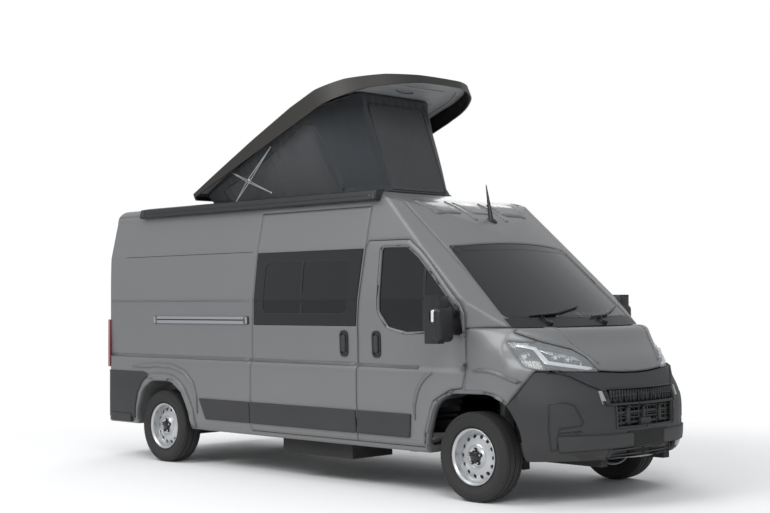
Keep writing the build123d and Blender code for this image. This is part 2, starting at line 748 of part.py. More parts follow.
# ---- rail that carries the sliding door's middle arm ----------------------------------------
rail_rear = -4155
rail_front = -2706
rail_low = 1355
rail_high = 1420
rail_depth = 14
with BuildPart() as slide_rail:
    add(rounded_prism([(rail_rear, rail_low), (rail_rear, rail_high), (rail_front, rail_high),
                       (rail_front, rail_low)], 18, -1300, 0))
    add(section_prism(-rail_depth, long_low, long_high), mode=Mode.INTERSECT)
    add(section_prism(-fit_gap, long_low, long_high), mode=Mode.SUBTRACT)
keep(slide_rail.part, "slide_rail")

# ---- rear doors -----------------------------------------------------------------------------
rear_window_low = 1440
rear_window_high = 1985
rear_window_inner = 95
rear_window_outer = 735


def rear_window_prism(margin):
    """The right rear door's window outline, grown by margin, through the door."""
    with BuildPart() as prism:
        with BuildSketch(Plane.YZ.offset(fx(rear_wall_x) - 100)):
            with Locations([(-(rear_window_inner + rear_window_outer) / 2,
                             (rear_window_low + rear_window_high) / 2)]):
                RectangleRounded(rear_window_outer - rear_window_inner + 2 * margin,
                                 rear_window_high - rear_window_low + 2 * margin, 55)
        extrude(amount=400)
    return prism.part


with BuildPart() as rear_door_right:
    add(rear_door_prism(0, 2 * wall + 90))
    add(rear_layer, mode=Mode.INTERSECT)
    with Locations([(fx(rear_wall_x), 1000 - rear_middle_gap / 2, 1400)]):
        Box(800, 2000, 3000, mode=Mode.SUBTRACT)
    add(rear_window_prism(0), mode=Mode.SUBTRACT)
    for z in rear_hinge_heights:
        add(box_between((rear_hinge_x - 3, -rear_hinge_y + 5, z - hinge_half - 0.5),
                        (rear_hinge_x + 118, -rear_hinge_y + 27, z - 1.5)))
        add(upright_pin(rear_hinge_x, -rear_hinge_y, z - hinge_half, hinge_sleeve_radius, hinge_half - 1))
    for z in rear_hinge_heights:
        add(upright_pin(rear_hinge_x, -rear_hinge_y, z - 60, hinge_pin_radius + running, 120),
            mode=Mode.SUBTRACT)
keep(rear_door_right.part, "rear_door_right")

with BuildPart() as rear_door_glass_right:
    add(rear_window_prism(-fit_gap))
    add(profile_prism(12), mode=Mode.INTERSECT)
    add(profile_prism(12 + glass), mode=Mode.SUBTRACT)
keep(rear_door_glass_right.part, "rear_door_glass_right")

# ---- windscreen and scuttle -----------------------------------------------------------------
with BuildPart() as windscreen:
    add(screen_outline_prism(-fit_gap))
    add(screen_prism(6), mode=Mode.INTERSECT)
    add(screen_prism(6 + glass), mode=Mode.SUBTRACT)
    with Locations([(fx(-200), 0, 1750)]):
        Box(1600, 1800, 1000, mode=Mode.INTERSECT)
keep(windscreen.part, "windscreen")

# ---- headlamps ------------------------------------------------------------------------------
lamp_depth = 70
with BuildPart() as headlamp_right:
    add(nose_outer)
    add(corner_prism(lamp_outline, -fit_gap), mode=Mode.INTERSECT)
    add(nose_solid(bonnet_rows, lamp_depth), mode=Mode.SUBTRACT)
    add(above_bonnet_line_wide, mode=Mode.SUBTRACT)
    add(below_bumper_line_wide, mode=Mode.SUBTRACT)
keep(headlamp_right.part, "headlamp_right")

# ---- scuttle: the dark panel between windscreen and bonnet, with the bonnet's hinge brackets ---
bracket_inner = 640
bracket_outer = 650
with BuildPart() as scuttle:
    add(outer_body)
    add(inner_body, mode=Mode.SUBTRACT)
    add(scuttle_outline_prism(screen_seal - fit_gap), mode=Mode.INTERSECT)
    with Locations([(fx(300), 0, 1400)]):
        Box(700, 2000, 300, mode=Mode.INTERSECT)
    for side in (-1, 1):
        middle_y = side * (bracket_inner + bracket_outer) / 2
        with Locations([(bonnet_hinge_x, middle_y, bonnet_hinge_z + 5)]):
            Box(30, bracket_outer - bracket_inner, 38)
        with Locations([(bonnet_hinge_x, side * (bracket_outer + 612) / 2, bonnet_hinge_z)]):
            Cylinder(bonnet_pin_radius, bracket_outer - 612, rotation=(90, 0, 0))
keep(scuttle.part, "scuttle")

# ---- grilles in the bumper's openings --------------------------------------------------------
# opening's row in bumper_openings, number of upright bars, number of level bars
grille_rows = [(0, 15, 0), (1, 6, 4), (2, 0, 2)]
grille_bar = 12
grille_depth = 24
grille_x = fx(868)
with BuildPart() as grille:
    with Locations([(grille_x - 20, 0, 640)]):
        Box(10, 960, 600)
    for row, uprights, levels in grille_rows:
        name, half_width, low, high = bumper_openings[row]
        middle_z = (low + high) / 2
        for i in range(uprights):
            place_y = -half_width + (i + 0.5) * 2 * half_width / uprights
            with Locations([(grille_x, place_y, middle_z)]):
                Box(grille_depth + 20, grille_bar, high - low - 8)
        for i in range(levels):
            place_z = low + (i + 0.5) * (high - low) / levels
            with Locations([(grille_x, 0, place_z)]):
                Box(grille_depth + 20, 2 * half_width - 8, grille_bar)
    add(bumper_inner, mode=Mode.INTERSECT)
keep(grille.part, "grille")

# ---- rear bumper and tail lamps --------------------------------------------------------------
rear_bumper_low = 392
rear_bumper_high = 442
with BuildPart() as rear_bumper:
    with BuildSketch(Plane.XY.offset(rear_bumper_low - 30)):
        with BuildLine():
            Line((rear_face_x, -850), (rear_face_x, 850))
            ThreePointArc((rear_face_x, 850), (rear_face_x + 56, 965), (rear_face_x + 190, 1024))
            Polyline((rear_face_x + 190, 1024), (fx(-4560), 1024), (fx(-4560), -1024),
                     (rear_face_x + 190, -1024))
            ThreePointArc((rear_face_x + 190, -1024), (rear_face_x + 56, -965), (rear_face_x, -850))
        make_face()
    extrude(amount=rear_bumper_high + 30 - rear_bumper_low)
    add(outer_body, mode=Mode.SUBTRACT)
    with Locations([(rear_face_x, tow_eye_y, tow_eye_z)]):
        Cylinder(tow_eye_access, 200, rotation=(0, 90, 0), mode=Mode.SUBTRACT)
keep(rear_bumper.part, "rear_bumper")

tail_lamp_low = 905
tail_lamp_high = 1385
tail_lamp_proud = 10
with BuildPart() as tail_lamp_right:
    with BuildSketch(Plane.XY.offset(tail_lamp_low)):
        with BuildLine():
            Polyline((fx(rear_wall_x) - tail_lamp_proud, -838), (fx(rear_wall_x) - tail_lamp_proud, -900),
                     (fx(rear_wall_x) + 50, -1012), (fx(rear_wall_x) + 108, -1030),
                     (fx(rear_wall_x) + 108, -838), close=True)
        make_face()
    extrude(amount=tail_lamp_high - tail_lamp_low)
    add(outer_body, mode=Mode.SUBTRACT)
tail_lamp_solids = tail_lamp_right.part.solids().sort_by(lambda solid: solid.volume)
keep(tail_lamp_solids[-1], "tail_lamp_right")

# ---- awning case along the right roof edge ---------------------------------------------------
awning_rear = -4470
awning_front = -1085
awning_low_y = -955
awning_high_y = -862
awning_low = 2400
awning_height = 86
with BuildPart() as awning_case:
    with BuildSketch(Plane.YZ.offset(fx(awning_rear))):
        with BuildLine():
            FilletPolyline((awning_high_y, awning_low + awning_height + 18),
                           (awning_low_y, awning_low + awning_height),
                           (awning_low_y - 22, awning_low + 10), (awning_low_y + 10, awning_low - 4),
                           (awning_high_y, awning_low + 10), radius=9, close=True)
        make_face()
    extrude(amount=awning_front - awning_rear)
    add(section_prism(-fit_gap, long_low, long_high), mode=Mode.SUBTRACT)
awning_solids = awning_case.part.solids().sort_by(lambda solid: solid.volume)
keep(awning_solids[-1], "awning_case")

# ---- the same pieces on the left side --------------------------------------------------------
for name in ("front_door", "front_door_glass", "mirror", "rear_door", "rear_door_glass", "headlamp",
             "tail_lamp"):
    keep(mirrored(pieces[name + "_right"]), name + "_left")

# ---- antenna on the roof front ---------------------------------------------------------------
antenna_foot = (fx(-640), 2200)
antenna_tip = (fx(-703), 2557)
antenna_lean = math.degrees(math.atan2(antenna_foot[0] - antenna_tip[0], antenna_tip[1] - antenna_foot[1]))
antenna_length = math.hypot(antenna_foot[0] - antenna_tip[0], antenna_tip[1] - antenna_foot[1])
with BuildPart() as antenna:
    with Locations([Location((antenna_foot[0], 0, antenna_foot[1]), (0, -antenna_lean, 0))]):
        Cone(26, 4, antenna_length, align=(Align.CENTER, Align.CENTER, Align.MIN))
    add(outer_body, mode=Mode.SUBTRACT)
keep(antenna.part, "antenna")

# ---- roof lid, stored raised: drawn along its own sloping plane from the hinge ----------------
lid_slope = math.radians(lid_open_deg)
lid_side_plane = Plane(origin=(lid_hinge_x, 0, lid_hinge_z),
                       x_dir=(math.cos(lid_slope), 0, math.sin(lid_slope)), z_dir=(0, -1, 0))
lid_top_plane = Plane(origin=(lid_hinge_x, 0, lid_hinge_z),
                      x_dir=(math.cos(lid_slope), 0, math.sin(lid_slope)),
                      z_dir=(-math.sin(lid_slope), 0, math.cos(lid_slope)))
lid_half_width = 858
lid_straight = 2020
lid_length = 2760
lid_skin = 14
lid_start = 34
# Forward of the hinge, height of the top above the hinge's plane.
lid_top_line = [(lid_start, 22), (500, 38), (1100, 52), (1700, 50), (2050, 24), (2350, -34), (2620, -122)]
lid_tip = (lid_length + 20, -196)
# The same for the rim's lower edge.
lid_rim_line = [(lid_start, -12), (700, -52), (1400, -98), (2100, -142), (2480, -196),
                (lid_length + 20, -268)]


def lid_plan_prism(inset):
    """The lid's outline seen square on, drawn in by inset."""
    half = lid_half_width - inset
    with BuildPart() as prism:
        with BuildSketch(lid_top_plane.offset(-500)):
            with BuildLine():
                Polyline((lid_start + inset, -half + 60), (lid_start + inset, half - 60),
                         (lid_start + 60 + inset, half), (lid_straight, half))
                ThreePointArc((lid_straight, half),
                              (lid_straight + 0.72 * (lid_length - inset - lid_straight), 0.72 * half),
                              (lid_length - inset, 0.30 * half))
                ThreePointArc((lid_length - inset, 0.30 * half), (lid_length + 12 - inset, 0),
                              (lid_length - inset, -0.30 * half))
                ThreePointArc((lid_length - inset, -0.30 * half),
                              (lid_straight + 0.72 * (lid_length - inset - lid_straight), -0.72 * half),
                              (lid_straight, -half))
                Polyline((lid_straight, -half), (lid_start + 60 + inset, -half),
                         (lid_start + inset, -half + 60))
            make_face()
        extrude(amount=1000)
    return prism.part


def lid_side_prism(top, bottom, half_width):
    """The room between two lines seen from the side."""
    with BuildPart() as prism:
        with BuildSketch(lid_side_plane):
            with BuildLine():
                Polyline(*(top + list(reversed(bottom))), close=True)
            make_face()
        extrude(amount=half_width, both=True)
    return prism.part


with BuildPart() as roof_lid:
    add(lid_side_prism(lid_top_line + [lid_tip], lid_rim_line, 1000))
    add(lid_plan_prism(0), mode=Mode.INTERSECT)
    with BuildPart(mode=Mode.PRIVATE) as hollow:
        add(lid_side_prism([(x, z - lid_skin) for x, z in lid_top_line + [lid_tip]],
                           [(lid_start, -500), (lid_tip[0], -500)], 1000))
        add(lid_plan_prism(lid_skin), mode=Mode.INTERSECT)
    add(hollow.part, mode=Mode.SUBTRACT)
    for side in (-1, 1):
        with BuildSketch(lid_side_plane.offset(-side * lid_lug_inner)):
            with BuildLine():
                Polyline((-14, -14), (-14, 14), (10, 20), (lid_start + 120, 22), (lid_start + 120, -14),
                         close=True)
            make_face()
        extrude(amount=-side * lid_lug_thick)
        with Locations([(lid_hinge_x, side * (lid_lug_inner + lid_lug_thick / 2), lid_hinge_z)]):
            Cylinder(lid_pin_radius + running, 60, rotation=(90, 0, 0), mode=Mode.SUBTRACT)
keep(roof_lid.part, "roof_lid")

# ---- roof tent: fabric walls from the roof up to the lid --------------------------------------
tent_wall = 12
tent_foot_z = roof_z - 45
# plane, rear edge, shoulder, front edge, half width, half width at the front edge
tent_rows = [
    (Plane.XY.offset(tent_foot_z), fx(-3695), fx(-1760), fx(-1450), 590, 415),
    (lid_top_plane.offset(-26), 160, 1830, 2190, 780, 455),
]


def tent_solid(inset):
    """The wedge inside the tent's walls, drawn in by inset."""
    with BuildPart() as wedge:
        for plane, rear, shoulder, front, half, nose_half in tent_rows:
            with BuildSketch(plane):
                with BuildLine():
                    Polyline((rear + inset, -half + inset), (shoulder, -half + inset),
                             (front - inset, -nose_half + inset / 2), (front - inset, nose_half - inset / 2),
                             (shoulder, half - inset), (rear + inset, half - inset), close=True)
                make_face()
        loft()
    return wedge.part


with BuildPart() as roof_tent:
    add(tent_solid(0))
    add(tent_solid(tent_wall), mode=Mode.SUBTRACT)
    add(section_prism(-fit_gap, long_low, long_high) & profile_prism(-fit_gap), mode=Mode.SUBTRACT)
keep(roof_tent.part, "roof_tent")

# ---- scissor struts under the lid -------------------------------------------------------------
strut_half_height = 10
long_strut_length = 680
long_strut_deg = 43.5
strut_pivot_reach = 257
short_strut_deg = -20.8
short_strut_rear = 286
short_strut_front = 351
short_strut_y = strut_y + 12


def bar(x, z, start, end, degrees, y_middle, hole_radius):
    """A flat bar through (x, z) from start to end along its slope, with a pivot hole at (x, z)."""
    turn = math.radians(degrees)
    with BuildPart() as flat:
        with BuildSketch(Plane(origin=(x, y_middle + strut_thick / 2, z), z_dir=(0, -1, 0),
                               x_dir=(math.cos(turn), 0, math.sin(turn)))):
            with Locations([((start + end) / 2, 0)]):
                SlotOverall(end - start + 2 * strut_half_height, 2 * strut_half_height)
            Circle(hole_radius, mode=Mode.SUBTRACT)
        extrude(amount=strut_thick)
    return flat.part


strut_turn = math.radians(long_strut_deg)
strut_pivot_x = strut_foot_x + strut_pivot_reach * math.cos(strut_turn)
strut_pivot_z = strut_foot_z + strut_pivot_reach * math.sin(strut_turn)
with BuildPart() as long_strut_right:
    add(bar(strut_foot_x, strut_foot_z, 0, long_strut_length, long_strut_deg, -strut_y,
            strut_pin_radius + running))
    with Locations([(strut_pivot_x, -(strut_y + short_strut_y + strut_thick / 2) / 2, strut_pivot_z)]):
        Cylinder(strut_pin_radius, short_strut_y - strut_y + strut_thick / 2, rotation=(90, 0, 0))
keep(long_strut_right.part, "long_strut_right")
keep(mirrored(long_strut_right.part), "long_strut_left")
with BuildPart() as short_strut_right:
    add(bar(strut_pivot_x, strut_pivot_z, -short_strut_rear, short_strut_front, short_strut_deg,
            -short_strut_y, strut_pin_radius + running))
keep(short_strut_right.part, "short_strut_right")
keep(mirrored(short_strut_right.part), "short_strut_left")

# ---- wheels: dished steel rims and tyres ------------------------------------------------------
# Along the axle from the wheel's middle (outward positive), radius from the axle.
rim_profile = [
    (-20, stub_radius + running), (62, stub_radius + running), (62, 72), (50, 84), (34, 150), (20, 186),
    (20, 198), (80, 200), (92, 212), (92, 220.5), (84, 220.5), (84, rim_radius), (-84, rim_radius),
    (-84, 220.5), (-92, 220.5), (-92, 212), (-80, 200), (4, 198), (4, 176), (18, 146), (30, 90), (-20, 84),
]
tyre_profile = [
    (-78, rim_radius + 0.4), (78, rim_radius + 0.4), (80, 222), (98, 240), (107.5, 278), (104, 316),
    (92, 340), (84, 345), (62, 347.4), (62, 339), (54, 339), (54, 347.7), (6, tyre_radius), (6, 339.5),
    (-6, 339.5), (-6, tyre_radius), (-54, 347.7), (-54, 339), (-62, 339), (-62, 347.4), (-84, 345),
    (-92, 340), (-104, 316), (-107.5, 278), (-98, 240), (-80, 222),
]
rim_holes = 14
rim_hole_radius = 16
rim_hole_circle = 158
wheel_places = [("front_left", 0, front_track / 2, 1), ("front_right", 0, -front_track / 2, -1),
                ("rear_left", -wheelbase, rear_track / 2, 1),
                ("rear_right", -wheelbase, -rear_track / 2, -1)]


def spun(profile, place_x, place_y, side):
    """A profile turned about a wheel's axle."""
    with BuildPart() as ring:
        with BuildSketch(Plane(origin=(place_x, place_y, tyre_radius), x_dir=(0, side, 0),
                               z_dir=(side, 0, 0))):
            with BuildLine():
                Polyline(*profile, close=True)
            make_face()
        revolve(axis=Axis((place_x, place_y, tyre_radius), (0, 1, 0)))
    return ring.part


for name, distance, place_y, side in wheel_places:
    with BuildPart() as wheel:
        add(spun(rim_profile, fx(distance), place_y, side))
        with Locations([Location((fx(distance), place_y, tyre_radius), (90, 0, 0))]):
            with PolarLocations(rim_hole_circle, rim_holes):
                Cylinder(rim_hole_radius, 200, mode=Mode.SUBTRACT)
    keep(wheel.part, "wheel_" + name)
    keep(spun(tyre_profile, fx(distance), place_y, side), "tyre_" + name)

# ---- knuckles: an upright block with the axle stub --------------------------------------------
kingpin_y = front_track / 2 - 105
kingpin_radius = 14
knuckle_low = 238
knuckle_high = 458
stub_end = front_track / 2 + 55
for name, side in (("left", 1), ("right", -1)):
    with BuildPart() as knuckle:
        with Locations([(front_axle_x, side * kingpin_y, (knuckle_low + knuckle_high) / 2)]):
            Cylinder(30, knuckle_high - knuckle_low)
        with Locations([(front_axle_x, side * (kingpin_y + stub_end) / 2, tyre_radius)]):
            Cylinder(stub_radius, stub_end - kingpin_y, rotation=(90, 0, 0))
        with Locations([(front_axle_x, side * kingpin_y, knuckle_low + 30)]):
            Cylinder(kingpin_radius + running, 60.2, mode=Mode.SUBTRACT)
    keep(knuckle.part, "knuckle_" + name)

# ---- front subframe: rails, lower arms with the kingpins, beam behind the bumper --------------
rail_y = 420
rail_half = 40
rail_bottom = 285
rail_top = sill_z - fit_gap
arm_low = 205
arm_high = 235
with BuildPart() as bumper_beam:
    with Locations([(fx(800), 0, 510)]):
        Box(84, 1300, 130)
    add(bumper_inner, mode=Mode.INTERSECT)

with BuildPart() as front_subframe:
    for side in (-1, 1):
        with Locations([(fx(160), side * rail_y, (rail_bottom + rail_top) / 2)]):
            Box(1320, 2 * rail_half, rail_top - rail_bottom)
        with Locations([(fx(0), side * rail_y, (arm_low + rail_bottom) / 2)]):
            Box(120, 2 * rail_half, rail_bottom - arm_low + 1)
        with Locations([(fx(0), side * (rail_y + kingpin_y + 28) / 2, (arm_low + arm_high) / 2)]):
            Box(64, kingpin_y + 28 - rail_y, arm_high - arm_low)
        with Locations([(fx(0), side * kingpin_y, (arm_low + 296) / 2)]):
            Cylinder(kingpin_radius, 296 - arm_low)
        with Locations([(fx(790), side * rail_y, 430)]):
            Box(60, 2 * rail_half, 290)
    with Locations([(fx(-120), 0, 315)]):
        Box(90, 2 * rail_y, 59.4)
    add(bumper_beam.part)
keep(front_subframe.part, "front_subframe")

# ---- rear axle: dropped beam, stubs and single leaf springs under the floor -------------------
beam_low = 245
beam_high = 329
spring_y = 550
spring_low = 328
with BuildPart() as rear_axle:
    with Locations([(rear_axle_x, 0, (beam_low + beam_high) / 2)]):
        Box(80, rear_track - 230, beam_high - beam_low)
    for side in (-1, 1):
        with Locations([(rear_axle_x, side * (rear_track / 2 - 135), 330)]):
            Box(90, 40, 170)
        with Locations([(rear_axle_x, side * (rear_track / 2 - 35), tyre_radius)]):
            Cylinder(stub_radius, 184, rotation=(90, 0, 0))
        with Locations([(rear_axle_x, side * spring_y, (spring_low + rail_top) / 2)]):
            Box(1300, 70, rail_top - spring_low)
keep(rear_axle.part, "rear_axle")

# ---- engine block on the rails, tank under the floor ------------------------------------------
keep(box_between((fx(-20), -450, sill_z), (fx(600), 450, 1040)), "engine_block")
keep(box_between((fx(-2350), -900, 212), (fx(-1450), -420, rail_top)), "water_tank")

# ---- cab: dashboard and seats -------------------------------------------------------------------
floor_z = sill_z + wall + fit_gap
dash_front = fx(bulkhead_x) - wall - fit_gap
with BuildPart() as dashboard:
    with BuildSketch(Plane.XZ.offset(-890)):
        with BuildLine():
            Polyline((dash_front, 840), (dash_front, 1345), (fx(-90), 1402), (fx(120), 1402),
                     (fx(120), 1418), (fx(-150), 1440), (fx(-430), 1330), (fx(-500), 1240),
                     (fx(-380), 900), (fx(-300), 840), close=True)
        make_face()
    extrude(amount=1780)
    add(box_between((dash_front, -1000, 1300), (fx(400), -690, 1500)), mode=Mode.SUBTRACT)
    add(box_between((dash_front, 690, 1300), (fx(400), 1000, 1500)), mode=Mode.SUBTRACT)
keep(dashboard.part, "dashboard")

seat_y = 470
seat_half = 250
for name, side in (("driver_seat", 1), ("passenger_seat", -1)):
    with BuildPart() as seat:
        with BuildSketch(Plane.XZ.offset(-(side * seat_y + seat_half - 20))):
            with BuildLine():
                Polyline((fx(-1230), floor_z), (fx(-820), floor_z), (fx(-820), 690), (fx(-700), 700),
                         (fx(-690), 815), (fx(-1120), 800), (fx(-1250), 1440), (fx(-1350), 1440),
                         (fx(-1270), 700), (fx(-1230), 690), close=True)
            make_face()
        extrude(amount=2 * seat_half - 40)
        with Locations([(fx(-1312), side * seat_y, 1520)]):
            Box(90, 270, 170)
    keep(seat.part, name)

# ---- living space: kitchen unit behind the driver, bed across the rear ------------------------
keep(box_between((fx(-2650), 540, floor_z), (fx(-1520), 916, 1310)), "kitchen_unit")
with BuildPart() as bed_frame:
    add(box_between((fx(-4930), -930, 850), (fx(-3560), 930, 880)))
    for side in (-1, 1):
        add(box_between((fx(-4880), side * 600 - 20, floor_z), (fx(-3600), side * 600 + 20, 851)))
keep(bed_frame.part, "bed_frame")
keep(box_between((fx(-4920), -915, 880.3), (fx(-3570), 915, 1010)), "mattress")
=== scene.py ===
# %% [markdown]
# A camper van with a raised roof tent. The solid model brings every rigid form: body, doors,
# nose, wheels, chassis and the roof lid. This script gives each of them a finish and adds what
# is too thin or too soft for the solid model: trims, handles, lamps' insides, glass borders,
# seams, cushions and the cloth of the tent.

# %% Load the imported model
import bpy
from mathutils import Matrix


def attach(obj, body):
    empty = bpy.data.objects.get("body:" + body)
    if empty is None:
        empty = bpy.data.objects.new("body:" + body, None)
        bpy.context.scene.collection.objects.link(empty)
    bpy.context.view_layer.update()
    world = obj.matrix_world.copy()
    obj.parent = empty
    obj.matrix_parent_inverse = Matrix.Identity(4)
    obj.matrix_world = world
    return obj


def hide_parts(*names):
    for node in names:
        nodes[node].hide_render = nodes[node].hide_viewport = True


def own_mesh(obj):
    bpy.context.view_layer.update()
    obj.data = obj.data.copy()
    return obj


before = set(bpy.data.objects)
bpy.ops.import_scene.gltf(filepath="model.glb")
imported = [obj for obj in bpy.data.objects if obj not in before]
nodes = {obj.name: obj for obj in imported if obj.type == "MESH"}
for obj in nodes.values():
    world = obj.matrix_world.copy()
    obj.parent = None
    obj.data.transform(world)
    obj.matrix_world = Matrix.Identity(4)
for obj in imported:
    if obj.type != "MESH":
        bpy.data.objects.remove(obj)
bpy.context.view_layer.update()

import math
import bmesh
import bpy
from mathutils import Matrix, Vector
from mathutils.bvhtree import BVHTree

front_axle = 2.051          # metres forward of the van's middle
scene = bpy.context.scene
place_in_scene = scene.collection.objects.link
up_way = Vector((0, 0, 1))


def fx(distance):
    """A place along the van, measured forward of the front axle."""
    return front_axle + distance


# %% [markdown]
# The camera stands at the front right corner, a little above the bonnet. Its lens, place and
# turn are written out, so that the van fills the frame in the same perspective every time.

# %% Camera
turn = math.radians(44.476)
tip = math.radians(-2.019)
roll = math.radians(-0.371)
back = Vector((math.sin(turn) * math.cos(tip), -math.cos(turn) * math.cos(tip), math.sin(tip)))
level = Vector((math.cos(turn), math.sin(turn), 0))
upright = level.cross(-back)
lens = bpy.data.cameras.new("camera")
lens.sensor_width = 36
lens.sensor_fit = "HORIZONTAL"
lens.lens = 63.64
lens.shift_x = -0.0172
lens.shift_y = -0.0054
lens.clip_end = 200
camera = bpy.data.objects.new("camera", lens)
place_in_scene(camera)
turned_axes = Matrix((level * math.cos(roll) + upright * math.sin(roll),
                      upright * math.cos(roll) - level * math.sin(roll), back)).transposed()
camera.matrix_world = Matrix.Translation((9.0446, -8.9298, 1.5621)) @ turned_axes.to_4x4()
scene.camera = camera
print("camera at", tuple(round(value, 3) for value in camera.matrix_world.translation))


# %% [markdown]
# Shader trees are built from a few small functions: one feeds a node, one makes it, one does a
# sum and one mixes two colours.

# %% Helpers for shader trees
def feed(tree, node, inputs):
    """Gives a node's inputs, each a socket to join or a plain value."""
    for place, value in inputs.items():
        if isinstance(value, bpy.types.NodeSocket):
            tree.links.new(value, node.inputs[place])
        else:
            node.inputs[place].default_value = value


def shader_node(tree, kind, inputs):
    """A new shader node with its inputs given."""
    node = tree.nodes.new("ShaderNode" + kind)
    feed(tree, node, inputs)
    return node


def math_node(tree, operation, first, second):
    """The result of one sum; each operand is a socket or a number."""
    node = shader_node(tree, "Math", {0: first, 1: second})
    node.operation = operation
    return node.outputs[0]


def mixed_colour(tree, share, first, second):
    """A colour between two others, each a socket or a colour."""
    node = tree.nodes.new("ShaderNodeMix")
    node.data_type = "RGBA"
    feed(tree, node, {"Factor": share, "A": first, "B": second})
    return node.outputs["Result"]


def seen_directly(tree):
    """One where the camera looks straight or through glass, and otherwise nought."""
    rays = shader_node(tree, "LightPath", {})
    return math_node(tree, "MAXIMUM", rays.outputs["Is Camera Ray"], rays.outputs["Is Transmission Ray"])


def coordinates(tree):
    """The piece's own coordinates, in metres."""
    return shader_node(tree, "TexCoord", {}).outputs["Object"]


# %% [markdown]
# The floor is a plain pale sheet that fades to white far from the van. The backdrop is only a
# colour that the camera and glass see; the light itself comes from four large soft lamps and a
# dim world.

# %% Floor, backdrop and lamps
floor_mesh = bmesh.new()
bmesh.ops.create_grid(floor_mesh, x_segments=1, y_segments=1, size=60)
floor_data = bpy.data.meshes.new("floor")
floor_mesh.to_mesh(floor_data)
floor_mesh.free()
floor = bpy.data.objects.new("floor", floor_data)
place_in_scene(floor)
floor_paint = bpy.data.materials.new("floor_paint")
floor_paint.use_nodes = True
tree = floor_paint.node_tree
shader = tree.nodes["Principled BSDF"]
feed(tree, shader, {"Base Color": (0.80, 0.80, 0.80, 1), "Roughness": 0.9})
away = shader_node(tree, "VectorMath", {0: coordinates(tree)})
away.operation = "LENGTH"
fade = shader_node(tree, "MapRange", {"From Min": 3.0, "From Max": 6.5, "Value": away.outputs["Value"]})
fade.interpolation_type = "SMOOTHSTEP"
share = math_node(tree, "MULTIPLY", seen_directly(tree), fade.outputs["Result"])
white = shader_node(tree, "Emission", {})
feed(tree, tree.nodes["Material Output"], {"Surface": shader_node(
    tree, "MixShader", {0: share, 1: shader.outputs[0], 2: white.outputs[0]}).outputs[0]})
floor_data.materials.append(floor_paint)

world = bpy.data.worlds.new("studio")
scene.world = world
world.use_nodes = True
tree = world.node_tree
dim = tree.nodes["Background"]
feed(tree, dim, {"Color": (0.95, 0.97, 1, 1), "Strength": 0.62})
seen = shader_node(tree, "Background", {"Color": (1, 1, 1, 1), "Strength": 1.0})
feed(tree, tree.nodes["World Output"], {"Surface": shader_node(
    tree, "MixShader", {0: seen_directly(tree), 1: dim.outputs[0], 2: seen.outputs[0]}).outputs[0]})

for name, place, aim, size, power in (("key", (9, -7, 8), (0, 0, 1.2), 5, 600),
                                      ("fill", (-3, -10, 10), (0, 0, 1.0), 6, 750),
                                      ("top", (-2, -1, 11), (-1, 0, 0), 7, 300),
                                      ("behind", (-8, 8, 6), (0, 0, 1), 6, 320)):
    data = bpy.data.lights.new(name, "AREA")
    data.size = size
    data.energy = power
    lamp = bpy.data.objects.new(name, data)
    place_in_scene(lamp)
    lamp.location = place
    lamp.rotation_euler = (Vector(aim) - Vector(place)).to_track_quat("-Z", "Y").to_euler()
scene.view_settings.view_transform = "Standard"
print("lamps", len(bpy.data.lights))


# %% [markdown]
# Every finish is mixed from a few shared effects. Each effect is one node group with named
# inputs, so that a material only states its own scale and strength. The groups put out masks
# and heights; the shader itself stays in the material.

# %% Node groups for the surface effects
def effect(name, inputs, outputs):
    """A new shader node group with float inputs and outputs, and its own coordinates."""
    group = bpy.data.node_groups.new(name, "ShaderNodeTree")
    for label, value in inputs:
        socket = group.interface.new_socket(name=label, in_out="INPUT", socket_type="NodeSocketFloat")
        socket.default_value = value
    for label in outputs:
        group.interface.new_socket(name=label, in_out="OUTPUT", socket_type="NodeSocketFloat")
    return group, group.nodes.new("NodeGroupInput"), group.nodes.new("NodeGroupOutput"), coordinates(group)


def noise(group, scale, detail, spot):
    """A noise texture's value."""
    return shader_node(group, "TexNoise", {"Detail": detail, "Scale": scale, "Vector": spot}).outputs["Fac"]


grain, enter, leave, spot = effect("fine_grain", [("Scale", 900), ("Patch Scale", 3)], ["Grain", "Patches"])
feed(grain, leave, {"Grain": noise(grain, enter.outputs["Scale"], 2, spot),
                    "Patches": noise(grain, enter.outputs["Patch Scale"], 5, spot)})

dust, enter, leave, spot = effect("road_dust", [("Height", 0.7), ("Strength", 0.3)], ["Dust"])
split = shader_node(dust, "SeparateXYZ", {0: spot})
low = math_node(dust, "DIVIDE", split.outputs["Z"], enter.outputs["Height"])
low = math_node(dust, "MAXIMUM", math_node(dust, "SUBTRACT", 1, low), 0)
low = math_node(dust, "MULTIPLY", low, noise(dust, 7, 6, spot))
feed(dust, leave, {"Dust": math_node(dust, "MULTIPLY", low, enter.outputs["Strength"])})

weave, enter, leave, spot = effect("plain_weave", [("Threads", 900)], ["Height", "Thread"])
split = shader_node(weave, "SeparateXYZ", {0: spot})
waves = []
for socket in (math_node(weave, "ADD", split.outputs["X"], split.outputs["Y"]), split.outputs["Z"]):
    waves.append(math_node(weave, "SINE", math_node(weave, "MULTIPLY", socket, enter.outputs["Threads"]), 0))
feed(weave, leave, {"Height": math_node(weave, "MULTIPLY", *waves), "Thread": noise(weave, 60, 4, spot)})
print("effects", [group.name for group in bpy.data.node_groups])

# %% [markdown]
# A finish is a Principled shader whose colour, roughness and bump are varied by the effects.
# One builder makes them all: it takes the name of a slot, which it keeps beside the finish, and the two ends of
# the colour, the roughness, how strong the grain and the dust are, and, for cloth, the weave.

# %% The finish builder
slots = {}


